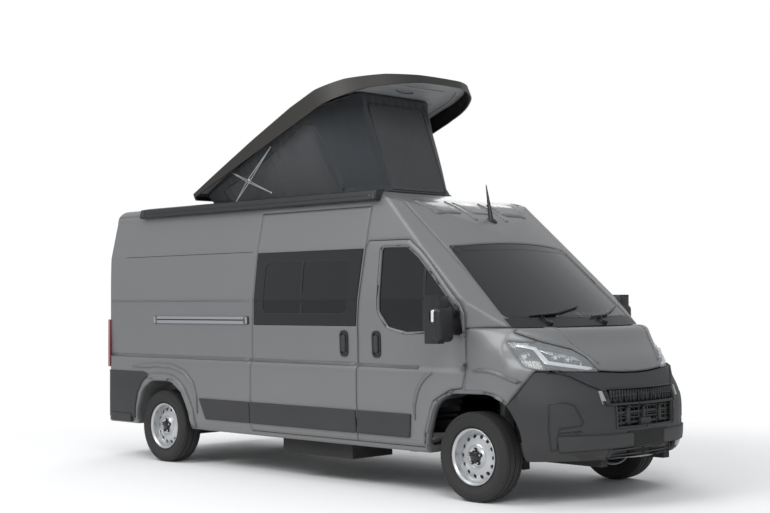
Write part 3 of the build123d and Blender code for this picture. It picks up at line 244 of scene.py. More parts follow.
def finish(name, slot, colour, other=None, metallic=0.0, roughness=0.5, spread=0.08, grain=900, bump=0.05,
           patches=3, dust=0.0, coat=0.0, weave=0, alpha=1.0, sheen=0.0, soft=0.0):
    """A material mixed from two colours by slow patches, with grain, road dust or a weave on top."""
    paint = bpy.data.materials.new(name)
    slots[paint] = slot
    paint.use_nodes = True
    tree = paint.node_tree
    shader = tree.nodes["Principled BSDF"]
    fine = tree.nodes.new("ShaderNodeGroup")
    fine.node_tree = bpy.data.node_groups["fine_grain"]
    feed(tree, fine, {"Scale": grain, "Patch Scale": patches})
    tint = mixed_colour(tree, fine.outputs["Patches"], (*colour, 1),
                        (*(other or [part * 0.86 for part in colour]), 1))
    if dust:
        road = tree.nodes.new("ShaderNodeGroup")
        road.node_tree = bpy.data.node_groups["road_dust"]
        feed(tree, road, {"Strength": dust})
        tint = mixed_colour(tree, road.outputs["Dust"], tint, (0.30, 0.28, 0.25, 1))
    rough = shader_node(tree, "MapRange", {"To Min": max(roughness - spread, 0), "To Max": min(roughness + spread, 1),
                                           "Value": fine.outputs["Patches"]})
    height = fine.outputs["Grain"]
    if weave:
        cloth = tree.nodes.new("ShaderNodeGroup")
        cloth.node_tree = bpy.data.node_groups["plain_weave"]
        feed(tree, cloth, {"Threads": weave})
        height = cloth.outputs["Height"]
    raised = shader_node(tree, "Bump", {"Distance": 0.001, "Strength": bump, "Height": height})
    if soft:
        eased = shader_node(tree, "Bevel", {"Radius": soft})
        eased.samples = 6
        feed(tree, raised, {"Normal": eased.outputs["Normal"]})
        feed(tree, shader, {"Coat Normal": eased.outputs["Normal"]})
    feed(tree, shader, {"Base Color": tint, "Roughness": rough.outputs["Result"], "Normal": raised.outputs["Normal"],
                        "Metallic": metallic, "Coat Weight": coat, "Coat Roughness": 0.06, "Alpha": alpha,
                        "Sheen Weight": sheen})
    return paint


# %% The van's finishes
body_grey = finish("body_grey", "body_paint", (0.172, 0.174, 0.177), (0.156, 0.158, 0.161), metallic=0.30,
                   roughness=0.44, spread=0.04, grain=2600, bump=0.02, patches=1.3, dust=0.15, coat=0.3, soft=0.045)
cladding = finish("cladding", "dark_plastic", (0.026, 0.0265, 0.028), (0.021, 0.0215, 0.023), roughness=0.60,
                  grain=1400, bump=0.35, dust=0.10, soft=0.02)
trim_black = finish("trim_black", "black_plastic", (0.009, 0.009, 0.010), roughness=0.42, grain=1400, bump=0.1)
gloss_black = finish("gloss_black", "black_plastic", (0.005, 0.005, 0.006), roughness=0.22, spread=0.03, grain=300,
                     bump=0.01, coat=0.2)
plate_black = finish("plate_black", "black_plastic", (0.003, 0.003, 0.003), roughness=0.75, bump=0.2)
dark_glass = finish("dark_glass", "tinted_glass", (0.004, 0.0045, 0.005), (0.003, 0.0035, 0.004), roughness=0.06,
                    spread=0.02, bump=0.0, coat=0.2, patches=1, alpha=0.985)
screen_glass = finish("screen_glass", "tinted_glass", (0.008, 0.009, 0.010), (0.007, 0.008, 0.009), roughness=0.04,
                      spread=0.02, bump=0.0, coat=0.3, patches=1, alpha=0.88)
lens_clear = finish("lens_clear", "clear_glass", (0.55, 0.58, 0.60), roughness=0.05, spread=0.02, bump=0.0,
                    coat=1.0, alpha=0.30)
lens_red = finish("lens_red", "red_lens", (0.20, 0.010, 0.012), (0.14, 0.006, 0.008), roughness=0.12, spread=0.04,
                  grain=500, coat=1.0)
lens_amber = finish("lens_amber", "lamp_lens", (0.55, 0.22, 0.03), roughness=0.15, spread=0.04, grain=500, coat=1.0)
lens_white = finish("lens_white", "lamp_lens", (0.62, 0.65, 0.67), roughness=0.10, spread=0.04, grain=500, coat=1.0)
chrome_lamp = finish("chrome_lamp", "clear_glass", (0.62, 0.63, 0.65), metallic=1.0, roughness=0.14, spread=0.05,
                     bump=0.01)
tyre_rubber = finish("tyre_rubber", "tyre_rubber", (0.013, 0.013, 0.0135), (0.018, 0.018, 0.018), roughness=0.80,
                     grain=1100, bump=0.4, patches=9, dust=0.06)
wheel_silver = finish("wheel_silver", "wheel_steel", (0.56, 0.57, 0.58), (0.48, 0.49, 0.50), metallic=0.70,
                      roughness=0.34, grain=1800, patches=6, dust=0.08)
# Near-black paint for the chassis; on the water tank the same paint is painted shade under the sill.
chassis_black_and_shade = finish("chassis_black_and_shade", "chassis_steel", (0.008, 0.008, 0.008), (0.014, 0.013, 0.012),
                       roughness=0.75, grain=500, bump=0.4, dust=0.05)
cast_metal = finish("cast_metal", "chassis_steel", (0.24, 0.24, 0.25), (0.18, 0.18, 0.19), metallic=0.8,
                    roughness=0.6, grain=700, bump=0.5)
satin_metal = finish("satin_metal", "strut_metal", (0.50, 0.51, 0.52), metallic=0.9, roughness=0.33, grain=1500)
rail_silver = finish("rail_silver", "rail_metal", (0.46, 0.47, 0.49), metallic=0.85, roughness=0.30, grain=1500,
                     bump=0.04)
tent_cloth = finish("tent_cloth", "tent_fabric", (0.020, 0.0235, 0.028), (0.026, 0.030, 0.035), roughness=0.86,
                    bump=0.5, patches=5, weave=3600, sheen=0.25)
tent_panel = finish("tent_panel", "tent_fabric", (0.028, 0.031, 0.034), (0.022, 0.025, 0.029), roughness=0.80,
                    bump=0.5, patches=5, weave=4200, sheen=0.25)
seat_cloth = finish("seat_cloth", "seat_fabric", (0.040, 0.041, 0.044), (0.058, 0.058, 0.062), roughness=0.9,
                    bump=0.6, patches=30, weave=2600, sheen=0.3)
light_board = finish("light_board", "wheel_steel", (0.52, 0.53, 0.54), roughness=0.45)
light_cloth = finish("light_cloth", "mattress_fabric", (0.52, 0.50, 0.46), (0.46, 0.44, 0.41), roughness=0.9,
                     bump=0.5, patches=8, weave=2400, sheen=0.2)
shell_pale = finish("shell_pale", "lid_shell", (0.34, 0.345, 0.35), (0.29, 0.295, 0.30), roughness=0.55, grain=420,
                    bump=0.25, patches=2)
shell_rim = finish("shell_rim", "lid_shell", (0.012, 0.011, 0.009), (0.016, 0.014, 0.011), roughness=0.48,
                   grain=1200, bump=0.15)
cabinet = finish("cabinet", "cabinet_board", (0.46, 0.40, 0.32), (0.36, 0.30, 0.23), roughness=0.45, spread=0.06,
                 grain=220, bump=0.1, patches=7)
cupboard_white = finish("cupboard_white", "cabinet_board", (0.62, 0.60, 0.56), (0.56, 0.54, 0.50), roughness=0.4,
                        grain=260, bump=0.06, patches=6)
dash_grain = finish("dash_grain", "black_plastic", (0.030, 0.030, 0.032), roughness=0.68, grain=1300, bump=0.5)


def sides_of(*names):
    """The left and the right node of each name."""
    return [f"{name}_{side}" for name in names for side in ("left", "right")]


node_finishes = {
    body_grey: ["floor_panel", "roof_panel", "bonnet", "sliding_door",
                *sides_of("side_panel", "front_wing", "front_door", "rear_door")],
    cladding: ["front_bumper", "rear_bumper"],
    dark_glass: ["side_window_left", "sliding_door_window", *sides_of("front_door_glass", "rear_door_glass")],
    screen_glass: ["windscreen"],
    lens_clear: sides_of("headlamp"),
    lens_red: sides_of("tail_lamp"),
    trim_black: ["scuttle", "grille", "antenna", "awning_case", *sides_of("mirror")],
    # The water tank takes the near-black chassis paint as painted shade, so that it sinks into the shadow under the
    # sill.
    chassis_black_and_shade: ["front_subframe", "rear_axle", "water_tank", *sides_of("knuckle")],
    cast_metal: ["engine_block"],
    dash_grain: ["dashboard"],
    rail_silver: ["slide_rail"],
    satin_metal: sides_of("long_strut", "short_strut"),
    wheel_silver: sides_of("wheel_front", "wheel_rear"),
    tyre_rubber: sides_of("tyre_front", "tyre_rear"),
    cabinet: ["kitchen_unit", "bed_frame"],
    seat_cloth: ["driver_seat", "passenger_seat"],
    light_cloth: ["mattress"],
    tent_cloth: ["roof_tent"],
    shell_rim: ["roof_lid"],
}
for paint, names in node_finishes.items():
    for name in names:
        nodes[name].data.materials.clear()
        nodes[name].data.materials.append(paint)
print("finishes", len(bpy.data.materials), "dressed", sum(len(names) for names in node_finishes.values()))

# %% [markdown]
# The small fittings all follow the van's curved skin. Instead of shaping each one by eye, a flat
# outline is cut into a grid, every point is dropped onto the solid model along one direction, and
# the sheet is then given its thickness and a small bevel. One helper does this for the sides, the
# front, the rounded corners, the tail and the roof.

# %% Helpers: a piece's object, and trees to drop points onto
half_root = math.sqrt(0.5)
views = {
    "right": (lambda a, b: Vector((fx(a), -3, b)), Vector((0, 1, 0))),
    "left": (lambda a, b: Vector((fx(a), 3, b)), Vector((0, -1, 0))),
    "front": (lambda a, b: Vector((6, a, b)), Vector((-1, 0, 0))),
    "rear": (lambda a, b: Vector((-6, a, b)), Vector((1, 0, 0))),
    "top": (lambda a, b: Vector((fx(a), b, 6)), Vector((0, 0, -1))),
    "corner": (lambda a, b: Vector((fx(a * half_root + 2), a * half_root - 2, b)),
               Vector((-half_root, half_root, 0))),
}
van_sides = ("van", "van")
door_sides = ("front_door_right", "front_door_left")
tail_sides = ("rear_door_right", "rear_door_left")


def dropped(a, b, view, tree):
    """Where a point of a view meets a tree."""
    start, way = views[view]
    return tree.ray_cast(start(a, b), way)[0]


def ground(*names):
    """One tree of the triangles of several nodes."""
    mesh = bmesh.new()
    for name in names:
        mesh.from_mesh(nodes[name].data)
    tree = BVHTree.FromBMesh(mesh)
    mesh.free()
    return tree


def new_item(name, mesh):
    """An object at the origin from a bmesh, which is freed."""
    data = bpy.data.meshes.new(name)
    mesh.to_mesh(data)
    mesh.free()
    item = bpy.data.objects.new(name, data)
    place_in_scene(item)
    return item


def dress(item, paint, body, slot):
    """Gives an item its only paint and its body; its slot is worked out but not kept."""
    item.data.materials.clear()
    item.data.materials.append(paint)
    item.data.shade_smooth()
    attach(item, body)
    slot or slots[paint]


def piece(name, mesh, paint, body="van", slot=None):
    """A finished object from a bmesh; a pair of bodies gives a right-hand piece and its mirror image."""
    if isinstance(body, tuple):
        other = mesh.copy()
        bmesh.ops.scale(other, vec=(1, -1, 1), verts=other.verts)
        bmesh.ops.reverse_faces(other, faces=other.faces)
        piece(name + "_right", mesh, paint, body[0], slot)
        return piece(name + "_left", other, paint, body[1], slot)
    item = new_item(name, mesh)
    dress(item, paint, body, slot)
    item.data.set_sharp_from_angle(angle=math.radians(35))
    return item


def rounded(points, radius, steps=5):
    """A closed outline whose corners are rounded by radius."""
    result = []
    for place, point in enumerate(points):
        corner = Vector(point)
        way_in = Vector(points[place - 1]) - corner
        way_out = Vector(points[(place + 1) % len(points)]) - corner
        reach = min(radius, way_in.length * 0.48, way_out.length * 0.48)
        first = corner + way_in.normalized() * reach
        last = corner + way_out.normalized() * reach
        for step in range(steps + 1):
            part = step / steps
            result.append(tuple(first * (1 - part) ** 2 + corner * 2 * part * (1 - part) + last * part ** 2))
    return result


def box(left, low, right, high, radius=0):
    """A rectangle's outline, with its corners rounded where there is a radius."""
    points = [(left, low), (right, low), (right, high), (left, high)]
    return rounded(points, radius) if radius else points


def upright(left, low, right, high, radius):
    """A rounded rectangle whose outline starts up its left side."""
    return rounded([(left, low), (left, high), (right, high), (right, low)], radius)


def tapered(low_half, low, high_half, high, radius):
    """A rounded outline about the van's middle, with a half width at its foot and one at its head."""
    return rounded([(-low_half, low), (low_half, low), (high_half, high), (-high_half, high)], radius)


def band(points, width, taper=1.0):
    """A closed band of a given width along a line; taper narrows its ends. Two points give upright ends."""
    outer = []
    inner = []
    for place, point in enumerate(points):
        before = Vector(points[max(place - 1, 0)])
        after = Vector(points[min(place + 1, len(points) - 1)])
        along = (after - before).normalized() if len(points) > 2 else Vector((1, 0))
        half = width / 2 * (taper if place in (0, len(points) - 1) else 1)
        outer.append((point[0] - along.y * half, point[1] + along.x * half))
        inner.append((point[0] + along.y * half, point[1] - along.x * half))
    return outer + inner[::-1]


def sheet_of(outline, step, holes=()):
    """A flat outline cut into a grid of faces."""
    mesh = bmesh.new()
    edges = []
    for ring in (outline, *holes):
        corners = [mesh.verts.new((a, b, 0)) for a, b in ring]
        edges += [mesh.edges.new((corners[i - 1], corners[i])) for i in range(len(corners))]
    bmesh.ops.triangle_fill(mesh, edges=edges, use_beauty=True, normal=(0, 0, 1))
    for axis in (0, 1):
        low = min(vert.co[axis] for vert in mesh.verts)
        high = max(vert.co[axis] for vert in mesh.verts)
        normal = Vector((1, 0, 0)) if axis == 0 else Vector((0, 1, 0))
        for cut in range(1, int((high - low) / step) + 1):
            bmesh.ops.bisect_plane(mesh, geom=mesh.verts[:] + mesh.edges[:] + mesh.faces[:], dist=1e-5,
                                   plane_co=normal * (low + cut * step), plane_no=normal)
    bmesh.ops.recalc_face_normals(mesh, faces=mesh.faces)
    return mesh


def thickened(mesh, way, thickness):
    """Gives a sheet its thickness along way and returns the faces of its outer side."""
    raised = bmesh.ops.extrude_face_region(mesh, geom=list(mesh.faces), use_keep_orig=True)["geom"]
    bmesh.ops.translate(mesh, vec=way * thickness,
                        verts=[item for item in raised if isinstance(item, bmesh.types.BMVert)])
    bmesh.ops.recalc_face_normals(mesh, faces=mesh.faces)
    return {item for item in raised if isinstance(item, bmesh.types.BMFace)}


def bevelled(mesh, edges, offset, segments):
    """Rounds some edges of a bmesh."""
    bmesh.ops.bevel(mesh, geom=edges, offset=offset, offset_type="OFFSET", segments=segments, profile=0.5,
                    affect="EDGES", clamp_overlap=True, material=-1)


def laid(outline, view, tree, thickness=0.006, sink=0.001, step=0.06, bevel=0.0015, holes=(), lift=0.0):
    """A sheet dropped onto a tree, thick towards the eye, with its outer edge bevelled."""
    mesh = sheet_of(outline, step, holes)
    start, way = views[view]
    for vert in mesh.verts:
        source = start(vert.co.x, vert.co.y)
        spot = tree.ray_cast(source, way)[0]
        if spot is None:
            spot = tree.find_nearest(source + way * 4)[0]
            spot = source + way * (spot - source).dot(way)
        vert.co = spot + way * (sink - lift)
    bmesh.ops.recalc_face_normals(mesh, faces=mesh.faces)
    if sum(face.normal.dot(way) * face.calc_area() for face in mesh.faces) < 0:
        bmesh.ops.reverse_faces(mesh, faces=mesh.faces)
    tops = thickened(mesh, -way, thickness + sink)
    if bevel:
        bevelled(mesh, [edge for edge in mesh.edges if len(edge.link_faces) == 2
                        and len([face for face in edge.link_faces if face in tops]) == 1], bevel, 2)
    return mesh


def block(low, high, bevel=0.003, segments=2):
    """A bevelled box between two corners."""
    mesh = bmesh.new()
    bmesh.ops.create_cube(mesh, size=1)
    size = Vector(high) - Vector(low)
    bmesh.ops.scale(mesh, vec=size, verts=mesh.verts)
    bmesh.ops.translate(mesh, vec=(Vector(low) + Vector(high)) / 2, verts=mesh.verts)
    bevelled(mesh, mesh.edges[:], min(bevel, min(size) * 0.45), segments)
    return mesh


def van_block(x, y, z, bevel=0.003, segments=2):
    """A bevelled box from pairs along each axis, where x is forward of the front axle."""
    return block((fx(x[0]), y[0], z[0]), (fx(x[1]), y[1], z[1]), bevel, segments)


def turn_to(mesh, axis, centre):
    """Turns a bmesh that was made upright at the origin along an axis, and moves it to its centre."""
    turn = up_way.rotation_difference(Vector(axis)).to_matrix()
    bmesh.ops.rotate(mesh, cent=(0, 0, 0), matrix=turn, verts=mesh.verts)
    bmesh.ops.translate(mesh, vec=centre, verts=mesh.verts)


def swept(points, radius, sides=10, flat=1.0):
    """A round bar along points; flat squeezes it across."""
    points = [Vector(point) for point in points]
    last = len(points) - 1
    mesh = bmesh.new()
    ring = bmesh.ops.create_circle(mesh, cap_ends=True, radius=radius, segments=sides)["verts"]
    bmesh.ops.scale(mesh, vec=(1, flat, 1), verts=ring)
    way = (points[1] - points[0]).normalized()
    turn_to(mesh, way, points[0])
    cap = list(mesh.faces)
    for place in range(1, len(points)):
        grown = bmesh.ops.extrude_face_region(mesh, geom=cap, use_keep_orig=(place == 1))["geom"]
        ring = [item for item in grown if isinstance(item, bmesh.types.BMVert)]
        cap = [item for item in grown if isinstance(item, bmesh.types.BMFace)]
        bmesh.ops.translate(mesh, vec=points[place] - points[place - 1], verts=ring)
        ahead = (points[min(place + 1, last)] - points[place - 1 if place == last else place]).normalized()
        bmesh.ops.rotate(mesh, cent=points[place], matrix=way.rotation_difference(ahead).to_matrix(), verts=ring)
        way = ahead
    bmesh.ops.recalc_face_normals(mesh, faces=mesh.faces)
    return mesh


def joined(meshes):
    """One bmesh from several."""
    whole = bmesh.new()
    for mesh in meshes:
        data = bpy.data.meshes.new("part")
        mesh.to_mesh(data)
        mesh.free()
        whole.from_mesh(data)
        bpy.data.meshes.remove(data)
    return whole


def turned(profile, centre, axis, segments=48):
    """A profile of (radius, height along axis) spun about an axis through centre."""
    mesh = bmesh.new()
    corners = [mesh.verts.new((radius, 0, height)) for radius, height in profile]
    edges = [mesh.edges.new((corners[i], corners[i + 1])) for i in range(len(corners) - 1)]
    bmesh.ops.spin(mesh, geom=corners + edges, cent=(0, 0, 0), axis=up_way, angle=math.tau, steps=segments,
                   use_merge=True)
    bmesh.ops.remove_doubles(mesh, verts=mesh.verts, dist=1e-5)
    turn_to(mesh, axis, centre)
    bmesh.ops.recalc_face_normals(mesh, faces=mesh.faces)
    return mesh


right_skin = ground("side_panel_right", "sliding_door", "front_wing_right", "front_door_right")
nose_skin = ground("front_bumper", "front_wing_right", "front_wing_left", "bonnet", "headlamp_right", "headlamp_left")
rear_doors = ("rear_door_right", "rear_door_left", "rear_door_glass_right", "rear_door_glass_left")
tail_skin = ground(*rear_doors, "side_panel_right", "side_panel_left", "floor_panel", "roof_panel")
pane_skin = ground("sliding_door_window", "sliding_door", "side_panel_right")

# %% [markdown]
# Dark plastic strips run low along both sides, broken at the door gaps, so that each door carries
# its own length. A taller dark corner wraps the tail below the lamps, and painted lips border
# the wheel arches.

# %% Side strips, rear corners and arch lips
strip_low = 0.454
strip_high = 0.646
for name, rear_low, front_low, front_high, rear_high, riders in (
        ("strip_rear", -3.34, -2.687, -2.687, -3.43, van_sides),
        ("strip_middle", -2.676, -1.288, -1.288, -2.676, van_sides),
        ("strip_front", -1.277, -0.665, -0.645, -1.277, door_sides)):
    outline = [(rear_low, strip_low), (front_low, strip_low), (front_high, strip_high), (rear_high, strip_high)]
    piece(name, laid(rounded(outline, 0.012), "right", right_skin, 0.013, bevel=0.004), cladding, riders)
corner_outline = [(-4.985, 0.40), (-4.50, 0.405), (-4.486, 0.52), (-4.44, 0.66), (-4.35, 0.775), (-4.235, 0.842),
                  (-4.335, 0.872), (-4.985, 0.872)]
piece("rear_corner_side", laid(corner_outline, "right", right_skin, 0.012, step=0.03, bevel=0.004), cladding,
      van_sides)
tail_corner = [(-0.822, 0.444), (-0.985, 0.46), (-0.985, 0.872), (-0.822, 0.872)]
piece("rear_corner_tail", laid(tail_corner, "rear", tail_skin, 0.010, step=0.03, bevel=0.003), cladding, van_sides)


def grown(points, centre, margin):
    """Points moved away from a centre by a margin."""
    moved = []
    for a, b in points:
        way = Vector((a - centre[0], b - centre[1]))
        moved.append((a + way.x / way.length * margin, b + way.y / way.length * margin))
    return moved


rear_arch = [(-4.487, 0.30), (-4.475, 0.480), (-4.365, 0.700), (-4.205, 0.790), (-3.885, 0.790), (-3.715, 0.705),
             (-3.597, 0.480), (-3.583, 0.30)]
front_arch = [(-0.476, 0.30), (-0.474, 0.470), (-0.372, 0.748), (-0.205, 0.832), (0.195, 0.838), (0.372, 0.758),
              (0.494, 0.560), (0.502, 0.30)]
for name, arch, middle, wide, rear_end, front_end in (("rear_arch_lip", rear_arch, -4.035, 0.075, -4.25, 9),
                                                      ("front_arch_lip", front_arch, 0.01, 0.026, -9, 0.36)):
    smooth = rounded(arch, 0.22, 6)
    inner = grown(smooth, (middle, 0.35), 0.002)
    outer = grown(smooth, (middle, 0.35), wide)
    kept = [i for i, (a, b) in enumerate(inner) if b > 0.35 and rear_end < a <= front_end]
    outline = [inner[i] for i in kept] + [outer[i] for i in reversed(kept)]
    piece(name, laid(outline, "right", right_skin, 0.011, step=0.05, bevel=0.006), body_grey, van_sides)

# %% [markdown]
# The windows have black borders. On the big flush pane it is a printed band with a thin line where
# the clear part starts; on the door it is a rubber channel around the glass with an upright bar.

# %% Pane borders, door glass channel and the mirror's triangle
pane_outer = [(-2.618, 1.354), (-2.603, 1.99), (-1.234, 1.99), (-1.29, 1.354)]
pane_inner = rounded([(-2.49, 1.455), (-2.48, 1.905), (-1.385, 1.905), (-1.395, 1.455)], 0.07)
piece("pane_border", laid(pane_outer, "right", pane_skin, 0.0006, sink=0, step=0.12, bevel=0, holes=[pane_inner],
                          lift=0.0012), gloss_black, van_sides)
line_outer = rounded([(-2.498, 1.447), (-2.488, 1.913), (-1.377, 1.913), (-1.387, 1.447)], 0.075)
piece("pane_line", laid(line_outer, "right", pane_skin, 0.0012, sink=0, step=0.12, bevel=0, holes=[pane_inner],
                        lift=0.0014), trim_black, van_sides)
piece("pane_bar", laid(box(-1.985, 1.455, -1.965, 1.905), "right", pane_skin, 0.003, sink=0, step=0.2, bevel=0.001,
                       lift=0.001), trim_black, van_sides)
door_glass = [(-1.010, 2.000), (-1.010, 1.470), (-0.905, 1.345), (-0.700, 1.305), (-0.150, 1.330),
              (-0.130, 1.470), (-0.250, 1.592), (-0.430, 1.765), (-0.575, 1.900), (-0.715, 1.996)]
glass_middle = (-0.57, 1.64)
channel_outer = rounded(grown(door_glass, glass_middle, 0.022), 0.05)
channel_inner = rounded(grown(door_glass, glass_middle, -0.020), 0.04)
piece("door_glass_channel", laid(channel_outer, "right", right_skin, 0.004, sink=0.016, step=0.1, bevel=0.001,
                                 holes=[channel_inner]), trim_black, door_sides)
glass_bar = [(-0.520, 1.325), (-0.520, 1.835), (-0.492, 1.810), (-0.492, 1.325)]
piece("door_glass_bar", laid(glass_bar, "right", ground("front_door_glass_right"), 0.004, sink=0, step=0.2,
                             bevel=0.001), trim_black, door_sides)
triangle = rounded([(-0.215, 1.298), (-0.078, 1.290), (-0.118, 1.512), (-0.245, 1.572)], 0.02)
piece("mirror_base", laid(triangle, "right", right_skin, 0.010, sink=0.014, step=0.08, bevel=0.003), trim_black,
      door_sides)

# %% [markdown]
# Each handle is a tall black bowl let into the door, with a grip bar across it.

# %% Door handles
handle_half = 0.050
handle_low = 1.088
handle_high = 1.312


def upright_box(middle, half, inset, radius):
    """An upright rounded outline as tall as a handle, less an inset at both ends."""
    return box(middle - half, handle_low + inset, middle + half, handle_high - inset, radius)


for name, middle, riders in (("slide_handle", -1.432, "van"), ("door_handle", -1.042, door_sides)):
    rim = upright_box(middle, handle_half, 0, 0.052)
    bowl = upright_box(middle, handle_half - 0.017, 0.02, 0.04)
    grip = upright_box(middle, 0.024, 0.04, 0.022)
    piece(name + "_rim", laid(rim, "right", right_skin, 0.009, step=0.2, bevel=0.003, holes=[bowl]), trim_black,
          riders)
    piece(name + "_bowl", laid(bowl, "right", right_skin, 0.0012, step=0.2, bevel=0), gloss_black, riders)
    piece(name + "_grip", laid(grip, "right", right_skin, 0.016, step=0.2, bevel=0.006), cladding, riders)

# %% [markdown]
# The sliding door's rail is a bright channel: two lips with a groove between them and black end
# caps. The groove is laid on the solid rail, and the caps close its ends.

# %% Rail groove and end caps
rail_skin = ground("slide_rail")
piece("rail_groove", laid(box(-4.10, 1.384, -2.76, 1.396), "right", rail_skin, 0.0006, step=0.3, bevel=0), gloss_black)
for name, rear_end, front_end in (("rear", -4.160, -4.108), ("front", -2.752, -2.692)):
    piece("rail_cap_" + name, laid(box(rear_end, 1.350, front_end, 1.425, 0.012), "right", rail_skin, 0.004,
                                   sink=0.016, step=0.1, bevel=0.002), trim_black)

# %% [markdown]
# Door mirrors: the solid housing gets two rounded shells, two glasses, a clear turn lamp at its
# outer front edge and the arms that hold it to the door.

# %% Mirror shells, glass and turn lamps
piece("mirror_shell", joined([van_block((-0.240, -0.086), (-1.2872, -1.092), (1.236, 1.510), 0.042, 5),
                              van_block((-0.236, -0.104), (-1.2790, -1.120), (1.470, 1.596), 0.042, 5)]),
      trim_black, door_sides)
for name, heights in (("upper", (1.345, 1.560)), ("lower", (1.262, 1.328))):
    piece("mirror_glass_" + name, van_block((-0.2442, -0.2362), (-1.262, -1.120), heights, 0.002), chrome_lamp,
          door_sides)
piece("mirror_lamp", van_block((-0.190, -0.128), (-1.2880, -1.248), (1.385, 1.490), 0.012, 3), lens_white, door_sides)
piece("mirror_arms", joined([van_block((-0.180, -0.118), (-1.125, -1.012), (1.300, 1.352), 0.014, 3),
                             van_block((-0.180, -0.124), (-1.125, -1.012), (1.440, 1.482), 0.012, 3)]),
      trim_black, door_sides)

# %% [markdown]
# The windscreen has a printed black border. Its inner edge is a rounded outline, drawn in the
# plane of the glass and dropped onto it from the front. Two wipers lie at its foot.

# %% Windscreen border and wipers
screen_half = [(0.0, 2.026), (0.750, 2.006), (0.806, 1.430), (0.40, 1.420), (0.0, 1.418)]
hole_half = [(0.0, 1.984), (0.700, 1.962), (0.752, 1.500), (0.40, 1.468), (0.0, 1.458)]


def whole_screen(half, radius):
    """A rounded outline from its half, which starts at the top of the middle line and ends at its foot."""
    points = [(-half[1][0], half[1][1])] + half + [(-a, b) for a, b in half[3:1:-1]]
    return rounded(points, radius)


screen_ground = ground("windscreen", "scuttle", "roof_panel", "side_panel_right", "side_panel_left")
piece("screen_border", laid(whole_screen(screen_half, 0.02), "front", screen_ground, 0.0008, sink=0,
                            bevel=0, holes=[whole_screen(hole_half, 0.05)], lift=0.0012), gloss_black)
wiper_steps = 12
glass_ground = ground("windscreen", "scuttle")
ahead = Vector((1, 0, 0))
for name, first, knee, last in (("wiper_right", (-0.60, 1.435), (-0.32, 1.452), (0.02, 1.505)),
                                ("wiper_left", (0.06, 1.420), (0.36, 1.440), (0.70, 1.500))):
    path = []
    for i in range(wiper_steps + 1):
        share = i / wiper_steps * 2
        low, high = (first, knee) if share < 1 else (knee, last)
        a, b = [low[k] + (high[k] - low[k]) * (share - (share >= 1)) for k in range(2)]
        path.append(dropped(a, b, "front", glass_ground) + ahead * 0.02)
    arm_start = dropped(first[0] + 0.13, 1.372, "front", glass_ground) + ahead * 0.012
    arm = swept([arm_start, path[2] + ahead * 0.02, path[6] + ahead * 0.012], 0.009, 8)
    hub = turned([(0, -0.008), (0.020, -0.008), (0.020, 0.018), (0.014, 0.024), (0, 0.024)], arm_start,
                 (0.5, 0, 0.8), 20)
    piece(name, joined([swept(path, 0.007, 8), arm, hub]), trim_black)

# %% [markdown]
# The headlamp is a clear cover over a dark bowl. Behind the cover sit a bright light strip along
# its lower edge, a projector and reflector cups. They follow the same rounded corner, so they
# are laid on it from the corner's direction, a little under the cover.

# %% Headlamp insides
lamp_ground = ground("headlamp_right")
lamp_layers = [     # name, thickness, bevel, depth under the cover, corner radius, paint and outline
    ("bezel", 0.001, 0, 0.022, 0.012, gloss_black,
     [(-0.405, 1.222), (-0.182, 1.190), (0.050, 1.140), (0.150, 1.085), (0.215, 1.020), (0.185, 1.012),
      (-0.165, 1.035), (-0.215, 1.028), (-0.310, 1.062)]),
    ("strip", 0.006, 0.002, 0.012, 0.006, lens_white,
     [(-0.385, 1.206), (-0.255, 1.180), (-0.172, 1.072), (0.165, 1.022), (0.205, 1.030), (0.190, 1.044),
      (-0.140, 1.094), (-0.232, 1.199), (-0.375, 1.222)]),
    ("brow", 0.005, 0.002, 0.014, 0.006, chrome_lamp,
     [(-0.215, 1.176), (-0.120, 1.160), (0.060, 1.122), (0.118, 1.085), (0.075, 1.096), (-0.125, 1.140)]),
]
for name, thickness, bevel, depth, radius, paint, outline in lamp_layers:
    piece("lamp_" + name, laid(rounded(outline, radius), "corner", lamp_ground, thickness, sink=0, step=0.05,
                               bevel=bevel, lift=-depth), paint, van_sides)
cup_axis = -views["corner"][1] * 0.6 + Vector((0.55, 0, 0))
for name, depth, sides, paint, profile, places in (
        ("lamp_cups", 0.020, 28, chrome_lamp,
         lambda r: [(0.3 * r, -0.010), (0.75 * r, -0.002), (r, 0.008), (r * 1.12, 0.008), (r * 1.12, -0.012)],
         ((-0.085, 1.116, 0.034), (0.010, 1.098, 0.030), (0.090, 1.070, 0.024), (-0.320, 1.122, 0.040))),
        ("lamp_lenses", 0.018, 24, lens_white,
         lambda r: [(0, 0.010), (0.5 * r, 0.008), (0.85 * r, 0.003), (r, -0.004), (r, -0.010), (0, -0.010)],
         ((-0.085, 1.116, 0.018), (0.010, 1.098, 0.016), (-0.320, 1.122, 0.022)))):
    piece(name, joined(turned(profile(radius), dropped(a, b, "corner", lamp_ground) + views["corner"][1] * depth,
                              cup_axis, sides) for a, b, radius in places), paint, van_sides)

# %% [markdown]
# The front panel carries two grilles in one dark field with bright corner pieces, a plain black
# plate, a low air intake with a bright lip, and a sensor block behind the lower grille.

